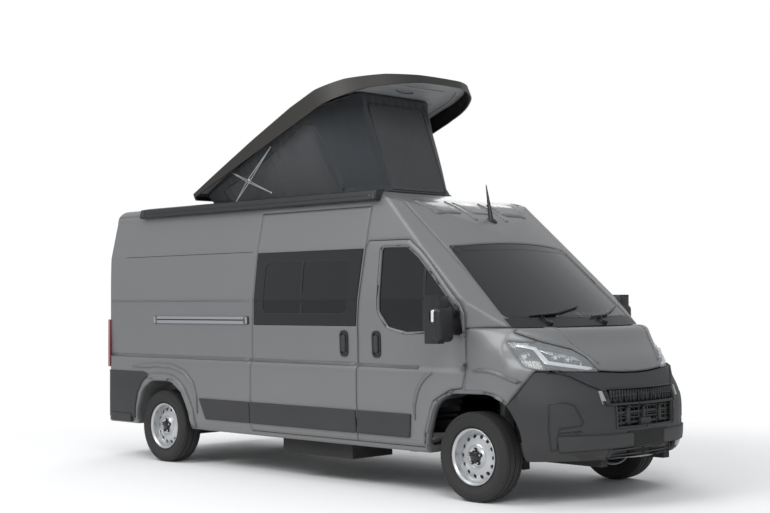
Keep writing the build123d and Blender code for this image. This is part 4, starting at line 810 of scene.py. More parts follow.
# %% Grille field, brackets, plate and intake
for name, outer, hole in (("grille_frame_upper", (0.475, 0.752, 0.470, 0.886), (0.418, 0.776, 0.414, 0.864)),
                          ("grille_frame_lower", (0.385, 0.576, 0.392, 0.750), (0.352, 0.598, 0.356, 0.740)),
                          ("intake_frame", (0.455, 0.346, 0.440, 0.436), (0.410, 0.362, 0.400, 0.422))):
    piece(name, laid(tapered(*outer, 0.012), "front", nose_skin, bevel=0.002, holes=[tapered(*hole, 0.01)]),
          trim_black)
piece("intake_mouth", laid(tapered(0.410, 0.362, 0.400, 0.422, 0.01), "front", nose_skin, 0.002, sink=0, step=0.08,
                           bevel=0), plate_black)
piece("intake_lip", laid(tapered(0.46, 0.338, 0.46, 0.352, 0.004), "front", nose_skin, 0.009, step=0.05,
                         bevel=0.003), satin_metal)
piece("front_plate", laid(tapered(0.260, 0.438, 0.260, 0.552, 0.008), "front", nose_skin, 0.010, step=0.3,
                          bevel=0.002), plate_black)
piece("sensor_block", laid(box(-0.052, 0.574, 0.075, 0.640, 0.006), "front", ground("grille"), 0.060, sink=0,
                           step=0.2, bevel=0.003), cladding)
upper_bars = [van_block((0.86, 0.880), (-0.40, 0.40), (0.816, 0.824))]
for i in range(24):
    y = -0.395 + i * 0.0343
    nose = 0.912 - 0.10 * y ** 2        # the grille's front bows back towards its ends
    upper_bars.append(van_block((nose - 0.05, nose - 0.022), (y - 0.0055, y + 0.0055), (0.774, 0.866)))
piece("grille_bars_upper", joined(upper_bars), cladding, slot="black_plastic")
lower_bars = []
for i in range(5):
    z = 0.618 + i * 0.0268
    lower_bars.append(van_block((0.865, 0.890), (-0.352, 0.352), (z - 0.004, z + 0.004), 0.002))
for i in range(13):
    y = -0.33 + i * 0.055
    lower_bars.append(van_block((0.862, 0.884), (y - 0.004, y + 0.004), (0.602, 0.738), 0.002))
for y in (-0.215, 0.0, 0.215):
    lower_bars.append(van_block((0.870, 0.903), (y - 0.011, y + 0.011), (0.600, 0.742)))
piece("grille_bars_lower", joined(lower_bars), cladding, slot="black_plastic")
bracket_arms = ([(0.418, 0.762), (0.505, 0.768), (0.505, 0.796), (0.418, 0.790)],
                [(0.470, 0.790), (0.508, 0.792), (0.508, 0.868), (0.478, 0.868)])
piece("grille_brackets", joined(laid([(side * a, b) for a, b in arm], "front", nose_skin, 0.010, step=0.2, bevel=0.002)
                                for side in (-1, 1) for arm in bracket_arms), satin_metal)

# %% [markdown]
# The bumper's corners have a raised lower bar that wraps round, a dark wedge above its end, a
# shallow step panel and a ridge that runs down from the headlamp.

# %% Bumper corners and bonnet folds
bumper_ground = ground("front_bumper", "headlamp_right", "front_wing_right")
panel_hole = [(-0.153, 0.778), (-0.048, 0.786), (0.030, 0.764), (0.096, 0.642), (0.084, 0.618), (-0.086, 0.602),
              (-0.106, 0.442), (-0.139, 0.434), (-0.158, 0.600)]
bumper_parts = [    # name, corner radius, thickness, sink, grid step, bevel, paint, holes and outline
    ("bar", 0.012, 0.016, 0.001, 0.05, 0.006, cladding, [],
     [(-0.10, 0.535), (0.30, 0.538), (0.52, 0.540), (0.52, 0.440), (0.30, 0.432), (-0.085, 0.420)]),
    ("wedge", 0.008, 0.003, 0, 0.05, 0.001, gloss_black, [],
     [(-0.090, 0.412), (0.035, 0.392), (0.100, 0.350), (0.30, 0.348), (0.40, 0.360), (0.40, 0.425), (0.26, 0.424)]),
    ("mouth", 0.006, 0.002, 0, 0.05, 0.0006, gloss_black, [],
     [(-0.085, 0.566), (0.010, 0.572), (0.085, 0.580), (0.105, 0.556), (0.075, 0.545), (-0.090, 0.543)]),
    ("ridge", 0.006, 0.012, 0.001, 0.04, 0.005, cladding, [],
     [(-0.175, 1.010), (-0.080, 1.006), (0.020, 0.978), (0.150, 0.915), (0.285, 0.862), (0.300, 0.874),
      (0.170, 0.934), (0.035, 0.998), (-0.070, 1.026), (-0.170, 1.026)]),
    ("panel_edge", 0.01, 0.0035, 0.001, 0.06, 0.001, trim_black, [rounded(panel_hole, 0.01)],
     [(-0.165, 0.790), (-0.045, 0.800), (0.040, 0.775), (0.112, 0.640), (0.090, 0.606), (-0.075, 0.590),
      (-0.095, 0.430), (-0.150, 0.420), (-0.170, 0.600)]),
]
for name, radius, thickness, sink, step, bevel, paint, holes, outline in bumper_parts:
    piece("bumper_" + name, laid(rounded(outline, radius), "corner", bumper_ground, thickness, sink, step, bevel,
                                 holes), paint, van_sides, "dark_plastic" if holes else None)
bonnet_ground = ground("bonnet")
folds = []
for side in (-1, 1):
    path = []
    for i in range(15):
        part = i / 14
        spot = dropped(0.36 + 0.40 * part, side * (0.60 - 0.20 * part + 0.04 * math.sin(part * math.pi)), "top",
                       bonnet_ground)
        if spot is not None:
            path.append(spot - up_way * 0.004)
    folds.append(swept(path, 0.011))
piece("bonnet_folds", joined(folds), body_grey, "bonnet")

# %% [markdown]
# Pressed lines give the sheet metal its character: a seam under the roof, a crease at the belt, a
# soft step low on the doors, and arcs over the wheels. Each is a low rounded ridge or a thin dark
# joint laid on the skin, cut at the door gaps, so that every door carries its own part.

# %% Creases and joints of the side panels
creases = [     # name, width, thickness, grid step, bevel, end taper, riders and line
    ("crease_step_rear", 0.030, 0.0045, 0.12, 0.0042, 1, van_sides, [(-4.90, 1.030), (-2.688, 1.030)]),
    ("crease_step_middle", 0.030, 0.0045, 0.12, 0.0042, 1, van_sides, [(-2.675, 1.030), (-1.289, 1.030)]),
    ("crease_step_front", 0.030, 0.0045, 0.12, 0.0042, 1, door_sides, [(-1.276, 1.028), (-0.560, 1.022)]),
    ("crease_belt_rear", 0.016, 0.0045, 0.12, 0.0042, 1, van_sides, [(-4.90, 1.573), (-2.688, 1.573)]),
    ("wing_crease", 0.030, 0.008, 0.05, 0.0075, 0.25, van_sides,
     [(0.02, 1.012), (0.08, 1.020), (0.16, 1.020), (0.25, 1.006), (0.34, 0.978), (0.42, 0.942), (0.50, 0.892)]),
    ("door_flare", 0.034, 0.007, 0.05, 0.0065, 0.25, door_sides,
     [(-0.60, 0.60), (-0.605, 0.72), (-0.575, 0.82), (-0.525, 0.905), (-0.455, 0.965), (-0.40, 0.985)]),
    ("rear_flare", 0.040, 0.010, 0.06, 0.009, 0.25, van_sides,
     [(-4.52, 0.92), (-4.30, 0.930), (-4.10, 0.945), (-3.86, 0.938), (-3.66, 0.885), (-3.54, 0.79), (-3.49, 0.66),
      (-3.475, 0.50)]),
]
for name, width, thickness, step, bevel, taper, riders, line in creases:
    piece(name, laid(band(line, width, taper), "right", right_skin, thickness, step=step, bevel=bevel), body_grey,
          riders)
roof_seam = band([(-4.70, 2.012), (-2.688, 2.012)], 0.0045)
piece("roof_joint_rear", laid(roof_seam, "right", right_skin, 0.0012, step=0.15, bevel=0), plate_black, van_sides)

# %% [markdown]
# The steel wheels and tyres are solid already. What makes them read as real is small: a black cap
# with five arms and its bolts over the hub, a bright bead on the rim's edge, a valve, the lugs of
# the tread's shoulders, rings on the sidewall, and the brake behind. All of it rides on its wheel.

# %% Wheel caps, bolts, valves, tread lugs and brakes
wheel_axle_z = 0.348
bolt_circle = 0.056
lug_radius = 0.3265
lug_lean = 0.464


def around(count, offset=0.0):
    """Angles round an axle."""
    return [math.tau * i / count + offset for i in range(count)]


def tread_lug(hub, shoulder, angle):
    """One lug on a shoulder of the tread; shoulder is 1 on the left edge and -1 on the right."""
    lug = bmesh.new()
    bmesh.ops.create_cube(lug, size=1)
    bmesh.ops.scale(lug, vec=(0.0180, 0.0085, 0.030), verts=lug.verts)
    bmesh.ops.rotate(lug, cent=(0, 0, 0), matrix=Matrix.Rotation(shoulder * lug_lean, 3, "X"), verts=lug.verts)
    bmesh.ops.translate(lug, vec=(0, shoulder * 0.0965, lug_radius), verts=lug.verts)
    bmesh.ops.rotate(lug, cent=(0, 0, 0), matrix=Matrix.Rotation(angle, 3, "Y"), verts=lug.verts)
    bmesh.ops.translate(lug, vec=hub, verts=lug.verts)
    return lug


def dress_wheel(name, hub, out):
    """Adds the small parts of one wheel; out points along the axle, away from the van."""
    def spun(profile, segments=64, centre=hub):
        return turned(profile, centre, out, segments)

    body = "wheel_" + name
    cap = [spun([(0, 0.083), (0.030, 0.082), (0.037, 0.078), (0.040, 0.070), (0.052, 0.067), (0.054, 0.060),
                 (0.046, 0.0585)], 40)]
    metal = [spun([(0.2135, 0.088), (0.2150, 0.0925), (0.2185, 0.0935), (0.2210, 0.0915), (0.2212, 0.087)], 96),
             spun([(0.0845, 0.0502), (0.088, 0.0520), (0.094, 0.0500), (0.098, 0.0468)])]
    for angle in around(5, 0.3):
        spot = hub + Vector((math.cos(angle), 0, math.sin(angle))) * bolt_circle
        arm = bmesh.new()
        bmesh.ops.create_cone(arm, cap_ends=True, segments=20, radius1=0.0185, radius2=0.0135, depth=0.020)
        bevelled(arm, [edge for edge in arm.edges if edge.calc_face_angle(0) > 1], 0.002, 2)
        turn_to(arm, out, spot + out * 0.067)
        cap.append(arm)
        metal.append(spun([(0, 0.0165), (0.0075, 0.016), (0.009, 0.0135), (0.009, 0.004)], 6, spot + out * 0.066))
    piece("hub_cap_" + name, joined(cap), gloss_black, body)
    piece("rim_bead_" + name, joined(metal), satin_metal, body, "wheel_steel")
    piece("valve_" + name, spun([(0, 0.052), (0.0045, 0.051), (0.0048, 0.040), (0.0042, 0.036), (0.0048, 0.022),
                                 (0.0075, 0.018)], 14, hub + Vector((0.190, 0, 0.012))), tyre_rubber, body)
    lugs = [tread_lug(hub, shoulder * out.y, angle) for shoulder in (-1, 1)
            for angle in around(72, 0.0 if shoulder > 0 else math.tau / 144)]
    piece("tread_" + name, joined(lugs), tyre_rubber, body)
    piece("brake_disc_" + name, spun([(0.034, -0.018), (0.150, -0.018), (0.150, -0.004), (0.075, -0.004),
                                      (0.075, 0.012), (0.034, 0.012)]), cast_metal, body)
    piece("brake_shield_" + name, spun([(0.034, -0.030), (0.192, -0.030), (0.192, -0.026), (0.034, -0.026)]),
          plate_black, body, "chassis_steel")
    rings = [spun([(radius - 0.004, height - 0.002), (radius - 0.002, height + 0.0012),
                   (radius + 0.002, height + 0.0012), (radius + 0.004, height - 0.002)], 96)
             for radius, height in ((0.2395, 0.0975), (0.296, 0.1062))]
    piece("sidewall_rings_" + name, joined(rings), tyre_rubber, body)


for axle, distance, reach in (("front", 0.0, 0.905), ("rear", -4.035, 0.895)):
    for word, side in (("right", -1), ("left", 1)):
        dress_wheel(f"{axle}_{word}", Vector((fx(distance), side * reach, wheel_axle_z)), Vector((0, side, 0)))

# %% [markdown]
# The raised tent is one sheet of coated cloth, held along the roof and along the lid and pulled
# tight between them. It starts as two rounded outlines, bridged and cut into a fine grid. The
# cloth then hangs for a moment in the simulation with both edges pinned, which gives it the soft
# hollows and creases of real fabric. Its thickness comes last.

# %% The tent's cloth
cloth_thickness = 0.0022
cloth_cap = 0.022           # how far a point of the cloth may move
corner_radius = 0.075
right_corners = [           # foot and head, from the rear to the front
    ((-1.629, -0.632, 2.5090), (-1.600, -0.774, 2.5950)),
    ((0.272, -0.592, 2.5100), (-0.0895, -0.774, 3.2960)),
    ((0.580, -0.412, 2.5190), (0.2320, -0.451, 3.4460)),
]
tent_corners = right_corners + [tuple((x, -y, z) for x, y, z in pair) for pair in reversed(right_corners)]
shares = [54, 12, 26, 12, 54, 36]       # steps along each wall, so that foot and head match


def frames_run(item, most):
    """Runs the item's cloth for twenty frames and applies it, with a cap on how far a point moves."""
    before = [vert.co.copy() for vert in item.data.vertices]
    for step in range(1, 21):
        scene.frame_set(step)
    shaped = bpy.data.meshes.new_from_object(item.evaluated_get(bpy.context.evaluated_depsgraph_get()))
    for vert, start in zip(shaped.vertices, before):
        moved = vert.co - start
        if moved.length > most:
            moved = moved.normalized() * most
        vert.co = start + moved
    item.modifiers.clear()
    item.data = shaped
    scene.frame_set(1)


def round_ring(points):
    """A closed ring of evenly shared points with rounded corners."""
    points = [Vector(point) for point in points]
    result = []
    for place, corner in enumerate(points):
        after = points[(place + 1) % len(points)]
        to_before = (points[place - 1] - corner).normalized() * corner_radius
        to_after = (after - corner).normalized() * corner_radius
        for step in range(7):
            part = step / 6
            result.append((corner + to_before) * (1 - part) ** 2 + corner * 2 * part * (1 - part)
                          + (corner + to_after) * part ** 2)
        following = after + (corner - after).normalized() * corner_radius
        result += [(corner + to_after).lerp(following, step / shares[place]) for step in range(1, shares[place])]
    return result


foot_ring = round_ring([pair[0] for pair in tent_corners])
head_ring = round_ring([pair[1] for pair in tent_corners])
foot_count = len(foot_ring)
tent = bmesh.new()
edges = []
for ring in (foot_ring, head_ring):
    corners = [tent.verts.new(point) for point in ring]
    edges += [tent.edges.new((corners[i - 1], corners[i])) for i in range(len(corners))]
bmesh.ops.bridge_loops(tent, edges=edges)
tent.verts.ensure_lookup_table()
upright_edges = [edge for edge in tent.edges
                 if (edge.verts[0].index < foot_count) != (edge.verts[1].index < foot_count)]
bmesh.ops.subdivide_edges(tent, edges=upright_edges, cuts=30, use_grid_fill=True)
bmesh.ops.recalc_face_normals(tent, faces=tent.faces)
tent_item = new_item("tent_cloth", tent)
held = tent_item.vertex_groups.new(name="held")
held.add([vert.index for vert in tent_item.data.vertices if vert.index < 2 * foot_count], 1.0, "REPLACE")
cloth = tent_item.modifiers.new("cloth", "CLOTH")
cloth.settings.quality = 5
cloth.settings.mass = 0.4
cloth.settings.tension_stiffness = 18
cloth.settings.compression_stiffness = 18
cloth.settings.bending_stiffness = 0.4
cloth.settings.shrink_min = -0.012
cloth.settings.shrink_max = -0.012
cloth.settings.vertex_group_mass = "held"
cloth.settings.use_pressure = True
cloth.settings.uniform_pressure_force = -0.25
cloth.collision_settings.use_collision = False
frames_run(tent_item, cloth_cap)
tent_item.vertex_groups.clear()
tent = bmesh.new()
tent.from_mesh(tent_item.data)
bmesh.ops.recalc_face_normals(tent, faces=tent.faces)
tent_tree = BVHTree.FromBMesh(tent)
bmesh.ops.solidify(tent, geom=tent.faces[:], thickness=cloth_thickness)
tent.to_mesh(tent_item.data)
tent.free()
dress(tent_item, tent_cloth, "van", None)
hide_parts("roof_tent")
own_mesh(tent_item)
print("tent cloth", len(tent_item.data.vertices), "points")


# %% [markdown]
# Window panels are sewn into the near, far and front walls: a slightly different cloth with a
# black piped edge. A binding runs along the head and the foot of the cloth. Every one of them
# lies on the cloth after it has sagged, and each keeps a mesh of its own.

# %% Panels, piping and bindings
def wall_point(wall, across_part, up_part, lift):
    """A point on a wall of the tent between two corner lines, lifted off the cloth."""
    foot_a, head_a, foot_b, head_b = (Vector(corner) for corner in wall)
    flat = foot_a.lerp(foot_b, across_part).lerp(head_a.lerp(head_b, across_part), up_part)
    way = (foot_b - foot_a).cross(head_a - foot_a).normalized()
    outwards = way.y * flat.y if abs(way.y) >= 0.3 else way.dot(Vector((flat.x + 0.5, flat.y, 0)))
    if outwards < 0:
        way = -way
    spot = tent_tree.ray_cast(flat + way * 0.12, -way, 0.3)[0] or flat
    return spot + way * lift, way


def wall_patch(name, wall, outline):
    """A patch of cloth that follows a wall of the tent, given in parts across and up."""
    mesh = sheet_of(outline, 0.035)
    for vert in mesh.verts:
        vert.co, way = wall_point(wall, vert.co.x, vert.co.y, 0.0006)
    bmesh.ops.recalc_face_normals(mesh, faces=mesh.faces)
    if sum(face.normal.dot(way) * face.calc_area() for face in mesh.faces) > 0:
        bmesh.ops.reverse_faces(mesh, faces=mesh.faces)
    thickened(mesh, way, 0.0018)
    return piece(name, mesh, tent_panel)


def wall_pipe(name, wall, outline):
    """A thin line of piping that follows a closed outline on a wall."""
    path = []
    for place, (a, b) in enumerate(outline):
        after = outline[(place + 1) % len(outline)]
        steps = max(1, int(math.dist((a, b), after) / 0.05))
        for step in range(steps):
            part = step / steps
            path.append(wall_point(wall, a + (after[0] - a) * part, b + (after[1] - b) * part, 0.002)[0])
    return piece(name, swept(path + [path[0]], 0.0042, 6), trim_black)


def binding(name, ring, radius, rise):
    """A binding tube along one edge of the tent, a little inside its line."""
    path = [point + up_way * rise for point in ring]
    centre = sum(path, Vector()) / len(path)
    path = [point + (centre - point).normalized() * -0.002 for point in path]
    return piece(name, swept(path + [path[0]], radius, 8), trim_black)


side_outline = rounded([(0.16, 0.06), (0.975, 0.045), (0.985, 0.845), (0.93, 0.90), (0.16, 0.72)], 0.05, 6)
front_outline = rounded([(0.07, 0.04), (0.93, 0.04), (0.90, 0.905), (0.10, 0.905)], 0.05, 6)
sewn = [binding("tent_head_binding", head_ring, 0.009, -0.012), binding("tent_foot_binding", foot_ring, 0.007, 0.008)]
for name, start, end, outline in (("side_right", 0, 1, side_outline), ("side_left", 5, 4, side_outline),
                                  ("front", 2, 3, front_outline)):
    wall = (*tent_corners[start], *tent_corners[end])
    patch = wall_patch("tent_window_" + name, wall, outline)
    sewn += [patch, wall_pipe("tent_piping_" + name, wall, outline)]
for item in sewn:
    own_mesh(item)

# %% [markdown]
# Under the lid is a pale moulded liner. It is laid on the lid's underside along the lid's own
# upright direction: first the whole liner, then a raised band behind the rim and raised fields
# with soft edges. Two straps hang from it.

# %% The lid's liner, band, fields and straps
lid_turn = math.radians(25)
lid_hinge = Vector((-1.759, 0, 2.550))
lid_along = Vector((math.cos(lid_turn), 0, math.sin(lid_turn)))
lid_up = Vector((-math.sin(lid_turn), 0, math.cos(lid_turn)))
lid_straight = 2.02         # where the sides start to bend round to the tip
views["lid_under"] = (lambda a, b: lid_hinge + lid_along * a + Vector((0, b, 0)) - lid_up * 1.5, lid_up)
lid_skin = ground("roof_lid")


def lid_outline(inset, rear):
    """The lid's plan inside its rim, as points along and across the lid."""
    half = 0.858 - inset
    length = 2.760 - inset
    points = [(rear, -half), (lid_straight, -half)]
    for place in range(1, 12):
        bend = math.pi / 2 * place / 12
        points.append((lid_straight + (length - lid_straight) * math.sin(bend) ** 0.95,
                       -half * math.cos(bend) ** 0.95))
    return points + [(length, 0)] + [(a, -b) for a, b in reversed(points)]


piece("lid_liner", laid(lid_outline(0.034, 0.14), "lid_under", lid_skin, 0.0022, step=0.07, bevel=0), shell_pale,
      "roof_lid")
piece("lid_band", laid(lid_outline(0.040, 0.20), "lid_under", lid_skin, 0.012, step=0.09, bevel=0.005,
                       holes=[lid_outline(0.115, 0.30)]), shell_pale, "roof_lid")
fields = []
for low, high, half in ((1.10, 1.66, 0.70), (1.74, 2.12, 0.67), (2.19, 2.44, 0.50), (2.49, 2.60, 0.28)):
    field = rounded([(low, -half), (high, -half * 0.93), (high, half * 0.93), (low, half)], 0.07)
    fields.append(laid(field, "lid_under", lid_skin, 0.011, step=0.09, bevel=0.006))
piece("lid_fields", joined(fields), shell_pale, "roof_lid")
for name, along in (("front", 2.32), ("rear", 0.75)):
    spot = dropped(along, 0.0, "lid_under", lid_skin) - lid_up * 0.012
    loop = [spot + Vector((0, 0.11 * math.cos(math.pi * i / 10), 0)) - lid_up * 0.022 * math.sin(math.pi * i / 10)
            for i in range(11)]
    piece("lid_strap_" + name, swept(loop, 0.006, 8, 0.6), trim_black, "roof_lid")

# %% [markdown]
# Each scissor arm is a pair of thin rods that spread a little around a bolted middle plate, so
# the arms replace the plain bars of the solid model. The short arm's rods stay closer together,
# because they lie just above the roof when the lid is shut.

# %% Scissor arms
scissor_x = -0.904
scissor_z = 2.691


def disc(radius, inner, half, half_rim, centre, segments):
    """A flat round plate across the van, thinner at its rim."""
    return turned([(0, half), (inner, half), (radius, half_rim), (radius, -half_rim), (inner, -half), (0, -half)],
                  centre, (0, 1, 0), segments)


for side, word in ((-1, "right"), (1, "left")):
    for name, rear, front, y, thick, apart, plate in (
            ("long_strut", (-1.083, 2.513), (-0.586, 2.985), 0.8015, 0.0055, 0.015, 0.021),
            ("short_strut", (-1.165, 2.798), (-0.563, 2.562), 0.8115, 0.0040, 0.0085, 0.0125)):
        low, high, middle = (Vector((x, side * y, z)) for x, z in (rear, front, (scissor_x, scissor_z)))
        along = (high - low).normalized() * 0.02
        athwart = along.normalized().cross(Vector((0, 1, 0))) * apart
        rods = [swept([low, middle + athwart * spread - along, middle + athwart * spread + along, high], thick, 8, 0.6)
                for spread in (-1, 1)]
        rods += [disc(0.009, 0.007, thick * 0.62, thick * 0.3, end, 24) for end in (low, high)]
        rods.append(disc(plate, plate * 0.86, thick * 0.72, thick * 0.4, middle, 32))
        arm = piece(f"{name}_rods_{word}", joined(rods), satin_metal, f"{name}_{word}")
        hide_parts(f"{name}_{word}")
    bolts = [turned([(0, 0.0025), (0.0035, 0.0022), (0.0048, 0.0008), (0.0048, -0.001)],
                    Vector((scissor_x + a, side * 0.8145, scissor_z + b)), (0, side, 0), 16)
             for a, b in ((-0.006, 0.004), (0.006, 0.004), (0.0, -0.007))]
    piece("strut_bolts_" + word, joined(bolts), trim_black, "short_strut_" + word)

# %% [markdown]
# The cab roof has shallow pressed fields with a raised rib between them, and the roof's rear end
# has five ribs. The awning is a long case with slanted end caps, a lip along its foot and a seam.

# %% Roof pressings, awning details and antenna base
press_rear = -0.99
roof_front = ground("roof_panel", "side_panel_right", "side_panel_left")


def pressed(outline, radius, thickness, step, bevel):
    """A rounded field laid on the roof."""
    return laid(rounded(outline, radius), "top", roof_front, thickness, step=step, bevel=bevel)


presses = [pressed([(press_rear, 0.155), (-0.74, 0.13), (-0.74, -0.13), (press_rear, -0.155)], 0.05, 0.004, 0.08,
                   0.002)]
for side in (-1, 1):
    presses.append(pressed([(press_rear, side * 0.30), (-0.72, side * 0.27), (-0.72, side * 0.60),
                            (press_rear, side * 0.66)], 0.07, 0.006, 0.07, 0.003))
    presses.append(pressed([(press_rear, side * 0.205), (-0.63, side * 0.185), (-0.63, side * 0.215),
                            (press_rear, side * 0.235)], 0.012, 0.008, 0.06, 0.004))
piece("roof_pressings", joined(presses), body_grey)
piece("roof_ribs_rear", joined(pressed(box(-4.92, y - 0.012, -4.55, y + 0.012), 0.01, 0.006, 0.1, 0.003)
                               for y in (-0.44, -0.22, 0.0, 0.22, 0.44)), body_grey)
awning_ground = ground("awning_case")
for name, outline, thickness, step, bevel, paint in (
        ("seam", box(-4.40, 2.4435, -1.15, 2.4475), 0.002, 0.2, 0.0006, gloss_black),
        ("lip", box(-4.40, 2.409, -1.15, 2.417), 0.003, 0.2, 0.001, cladding),
        ("cap_rear", rounded([(-4.452, 2.404), (-4.465, 2.475), (-4.405, 2.475), (-4.405, 2.404)], 0.008), 0.004, 0.1,
         0.002, cladding),
        ("cap_front", rounded([(-1.145, 2.404), (-1.145, 2.475), (-1.105, 2.470), (-1.090, 2.404)], 0.008), 0.004,
         0.1, 0.002, cladding)):
    piece("awning_" + name, laid(outline, "right", awning_ground, thickness, step=step, bevel=bevel), paint,
          slot="black_plastic")
piece("antenna_foot", turned([(0.046, -0.006), (0.046, 0.004), (0.042, 0.009), (0.028, 0.016), (0.015, 0.022),
                              (0, 0.024)], dropped(-0.637, 0.0, "top", roof_front), (0.45, 0, 0.9), 36), trim_black)

# %% [markdown]
# The rear doors get what a tail needs: glass borders, hinges, an upright handle with a bare plate
# above the bumper, a high stop lamp, reflectors, and the fields inside the tall lamps.

# %% Rear glass borders, handle, plate and lamps
rear_ground = ground(*rear_doors)
tail_lamp_ground = ground("tail_lamp_right")
glass_hole = upright(-0.690, 1.482, -0.140, 1.942, 0.06)
piece("rear_glass_border", laid(upright(-0.742, 1.432, -0.088, 1.992, 0.075), "rear", rear_ground, 0.003,
                                step=0.12, bevel=0.001, holes=[glass_hole]), gloss_black, tail_sides)
for name, low in (("upper", 2.02), ("middle", 1.30), ("lower", 0.60)):
    outline = upright(-0.800, low, -0.70, low + 0.04, 0.012)
    piece("rear_hinge_" + name, laid(outline, "rear", rear_ground, 0.014, step=0.2, bevel=0.004), trim_black,
          tail_sides)
for low, high, paint in ((0.925, 1.06, lens_red), (1.075, 1.165, lens_amber), (1.18, 1.365, lens_red)):
    piece(f"tail_field_{int(low * 1000)}", laid(upright(-0.965, low, -0.868, high, 0.016), "rear", tail_lamp_ground,
                                                0.004, step=0.2, bevel=0.002), paint, van_sides)
tail_parts = [      # name, outline, tree, thickness, grid step, bevel, paint and bodies
    ("rear_handle_bowl", upright(-0.120, 1.16, -0.040, 1.34, 0.03), rear_ground, 0.006, 0.2, 0.002, trim_black,
     "rear_door_right"),
    ("rear_handle_grip", upright(-0.098, 1.19, -0.062, 1.31, 0.015), rear_ground, 0.016, 0.2, 0.005, cladding,
     "rear_door_right"),
    ("rear_plate_holder", upright(0.075, 0.92, 0.600, 1.055, 0.02), rear_ground, 0.008, 0.2, 0.003, trim_black,
     "rear_door_left"),
    ("rear_plate", upright(0.088, 0.933, 0.587, 1.042, 0.01), rear_ground, 0.011, 0.3, 0.001, light_board,
     "rear_door_left"),
    ("door_band", upright(-0.80, 1.375, -0.02, 1.395, 0.008), rear_ground, 0.004, 0.15, 0.002, body_grey, tail_sides),
    ("door_panel_lower", upright(-0.745, 0.66, -0.075, 0.885, 0.05), rear_ground, 0.004, 0.15, 0.003, body_grey,
     tail_sides),
    ("lower_strip", upright(-0.80, 0.475, -0.022, 0.60, 0.015), rear_ground, 0.008, 0.15, 0.003, cladding, tail_sides),
    ("high_stop_lamp", upright(-0.22, 2.385, 0.22, 2.410, 0.01), tail_skin, 0.010, 0.15, 0.003, lens_red, "van"),
    ("rear_reflector", upright(-0.93, 0.385, -0.80, 0.420, 0.01), ground("rear_bumper"), 0.004, 0.2, 0.0015, lens_red,
     van_sides),
]
for name, outline, tree, thickness, step, bevel, paint, bodies in tail_parts:
    piece(name, laid(outline, "rear", tree, thickness, step=step, bevel=bevel), paint, bodies)
tread_pads = []
for i in range(12):
    y = -0.42 + i * 0.0763
    tread_pads.append(block((-2.965, y - 0.024, 0.4405), (-2.925, y + 0.024, 0.4450), 0.0015))
piece("rear_step_tread", joined(tread_pads), trim_black)

# %% [markdown]
# A fuel flap sits low on the left side behind the driver's door. Farther back come the vent and
# the socket lid of a camper.

# %% Left side fittings
left_ground = ground("side_panel_left", "side_window_left")
for name, outline, thickness, bevel, paint in (
        ("fuel_flap", box(-1.60, 0.80, -1.44, 0.96, 0.03), 0.0035, 0.0015, body_grey),
        ("socket_rim", box(-3.32, 0.80, -3.16, 0.94, 0.02), 0.010, 0.003, cladding),
        ("socket_lid", box(-3.30, 0.82, -3.18, 0.92, 0.015), 0.014, 0.003, trim_black)):
    piece(name, laid(outline, "left", left_ground, thickness, step=0.1, bevel=bevel), paint)
slats = [laid(box(-2.55, 1.04, -2.17, 1.22, 0.02), "left", left_ground, step=0.2, bevel=0.002)]
for i in range(7):
    z = 1.06 + i * 0.022
    slats.append(laid(box(-2.52, z, -2.20, z + 0.009), "left", left_ground, 0.010, step=0.2, bevel=0.002))
piece("fridge_vent", joined(slats), cladding)


# %% [markdown]
# Seats, headrests and the mattress are padded. Each begins as a slightly small rounded block. The
# cloth simulation then blows it up a little, with a cap on how far any point may move, so that the
# sides crown and the edges stay soft. Seams and piping come after the swelling.

# %% Padded pieces
def pad(name, low, high, paint, tilt=0.0, pivot=(0, 0, 0), round_by=0.03, grow=0.018, voxel=0.02, fill=0.75):
    """A cushion between two corners, tilted about a pivot, swollen by the cloth simulation."""
    mesh = block(low, high, round_by, 4)
    bmesh.ops.rotate(mesh, cent=pivot, matrix=Matrix.Rotation(tilt, 3, "Y"), verts=mesh.verts)
    item = new_item(name, mesh)
    remesh = item.modifiers.new("remesh", "REMESH")
    remesh.mode = "VOXEL"
    remesh.voxel_size = voxel
    even = bpy.data.meshes.new_from_object(item.evaluated_get(bpy.context.evaluated_depsgraph_get()))
    item.modifiers.clear()
    item.data = even
    cloth = item.modifiers.new("cloth", "CLOTH")
    cloth.settings.quality = 4
    cloth.settings.use_pressure = True
    cloth.settings.uniform_pressure_force = 4
    cloth.settings.effector_weights.gravity = 0
    frames_run(item, grow)
    shaped = bmesh.new()
    shaped.from_mesh(item.data)
    for _ in range(2):
        bmesh.ops.smooth_vert(shaped, verts=shaped.verts, factor=0.5, use_axis_x=True, use_axis_y=True,
                              use_axis_z=True)
    shaped.to_mesh(item.data)
    shaped.free()
    dress(item, paint, "van", None)
    smooth = item.modifiers.new("smooth", "SUBSURF")
    smooth.levels = 1
    smooth.render_levels = 1
    return item


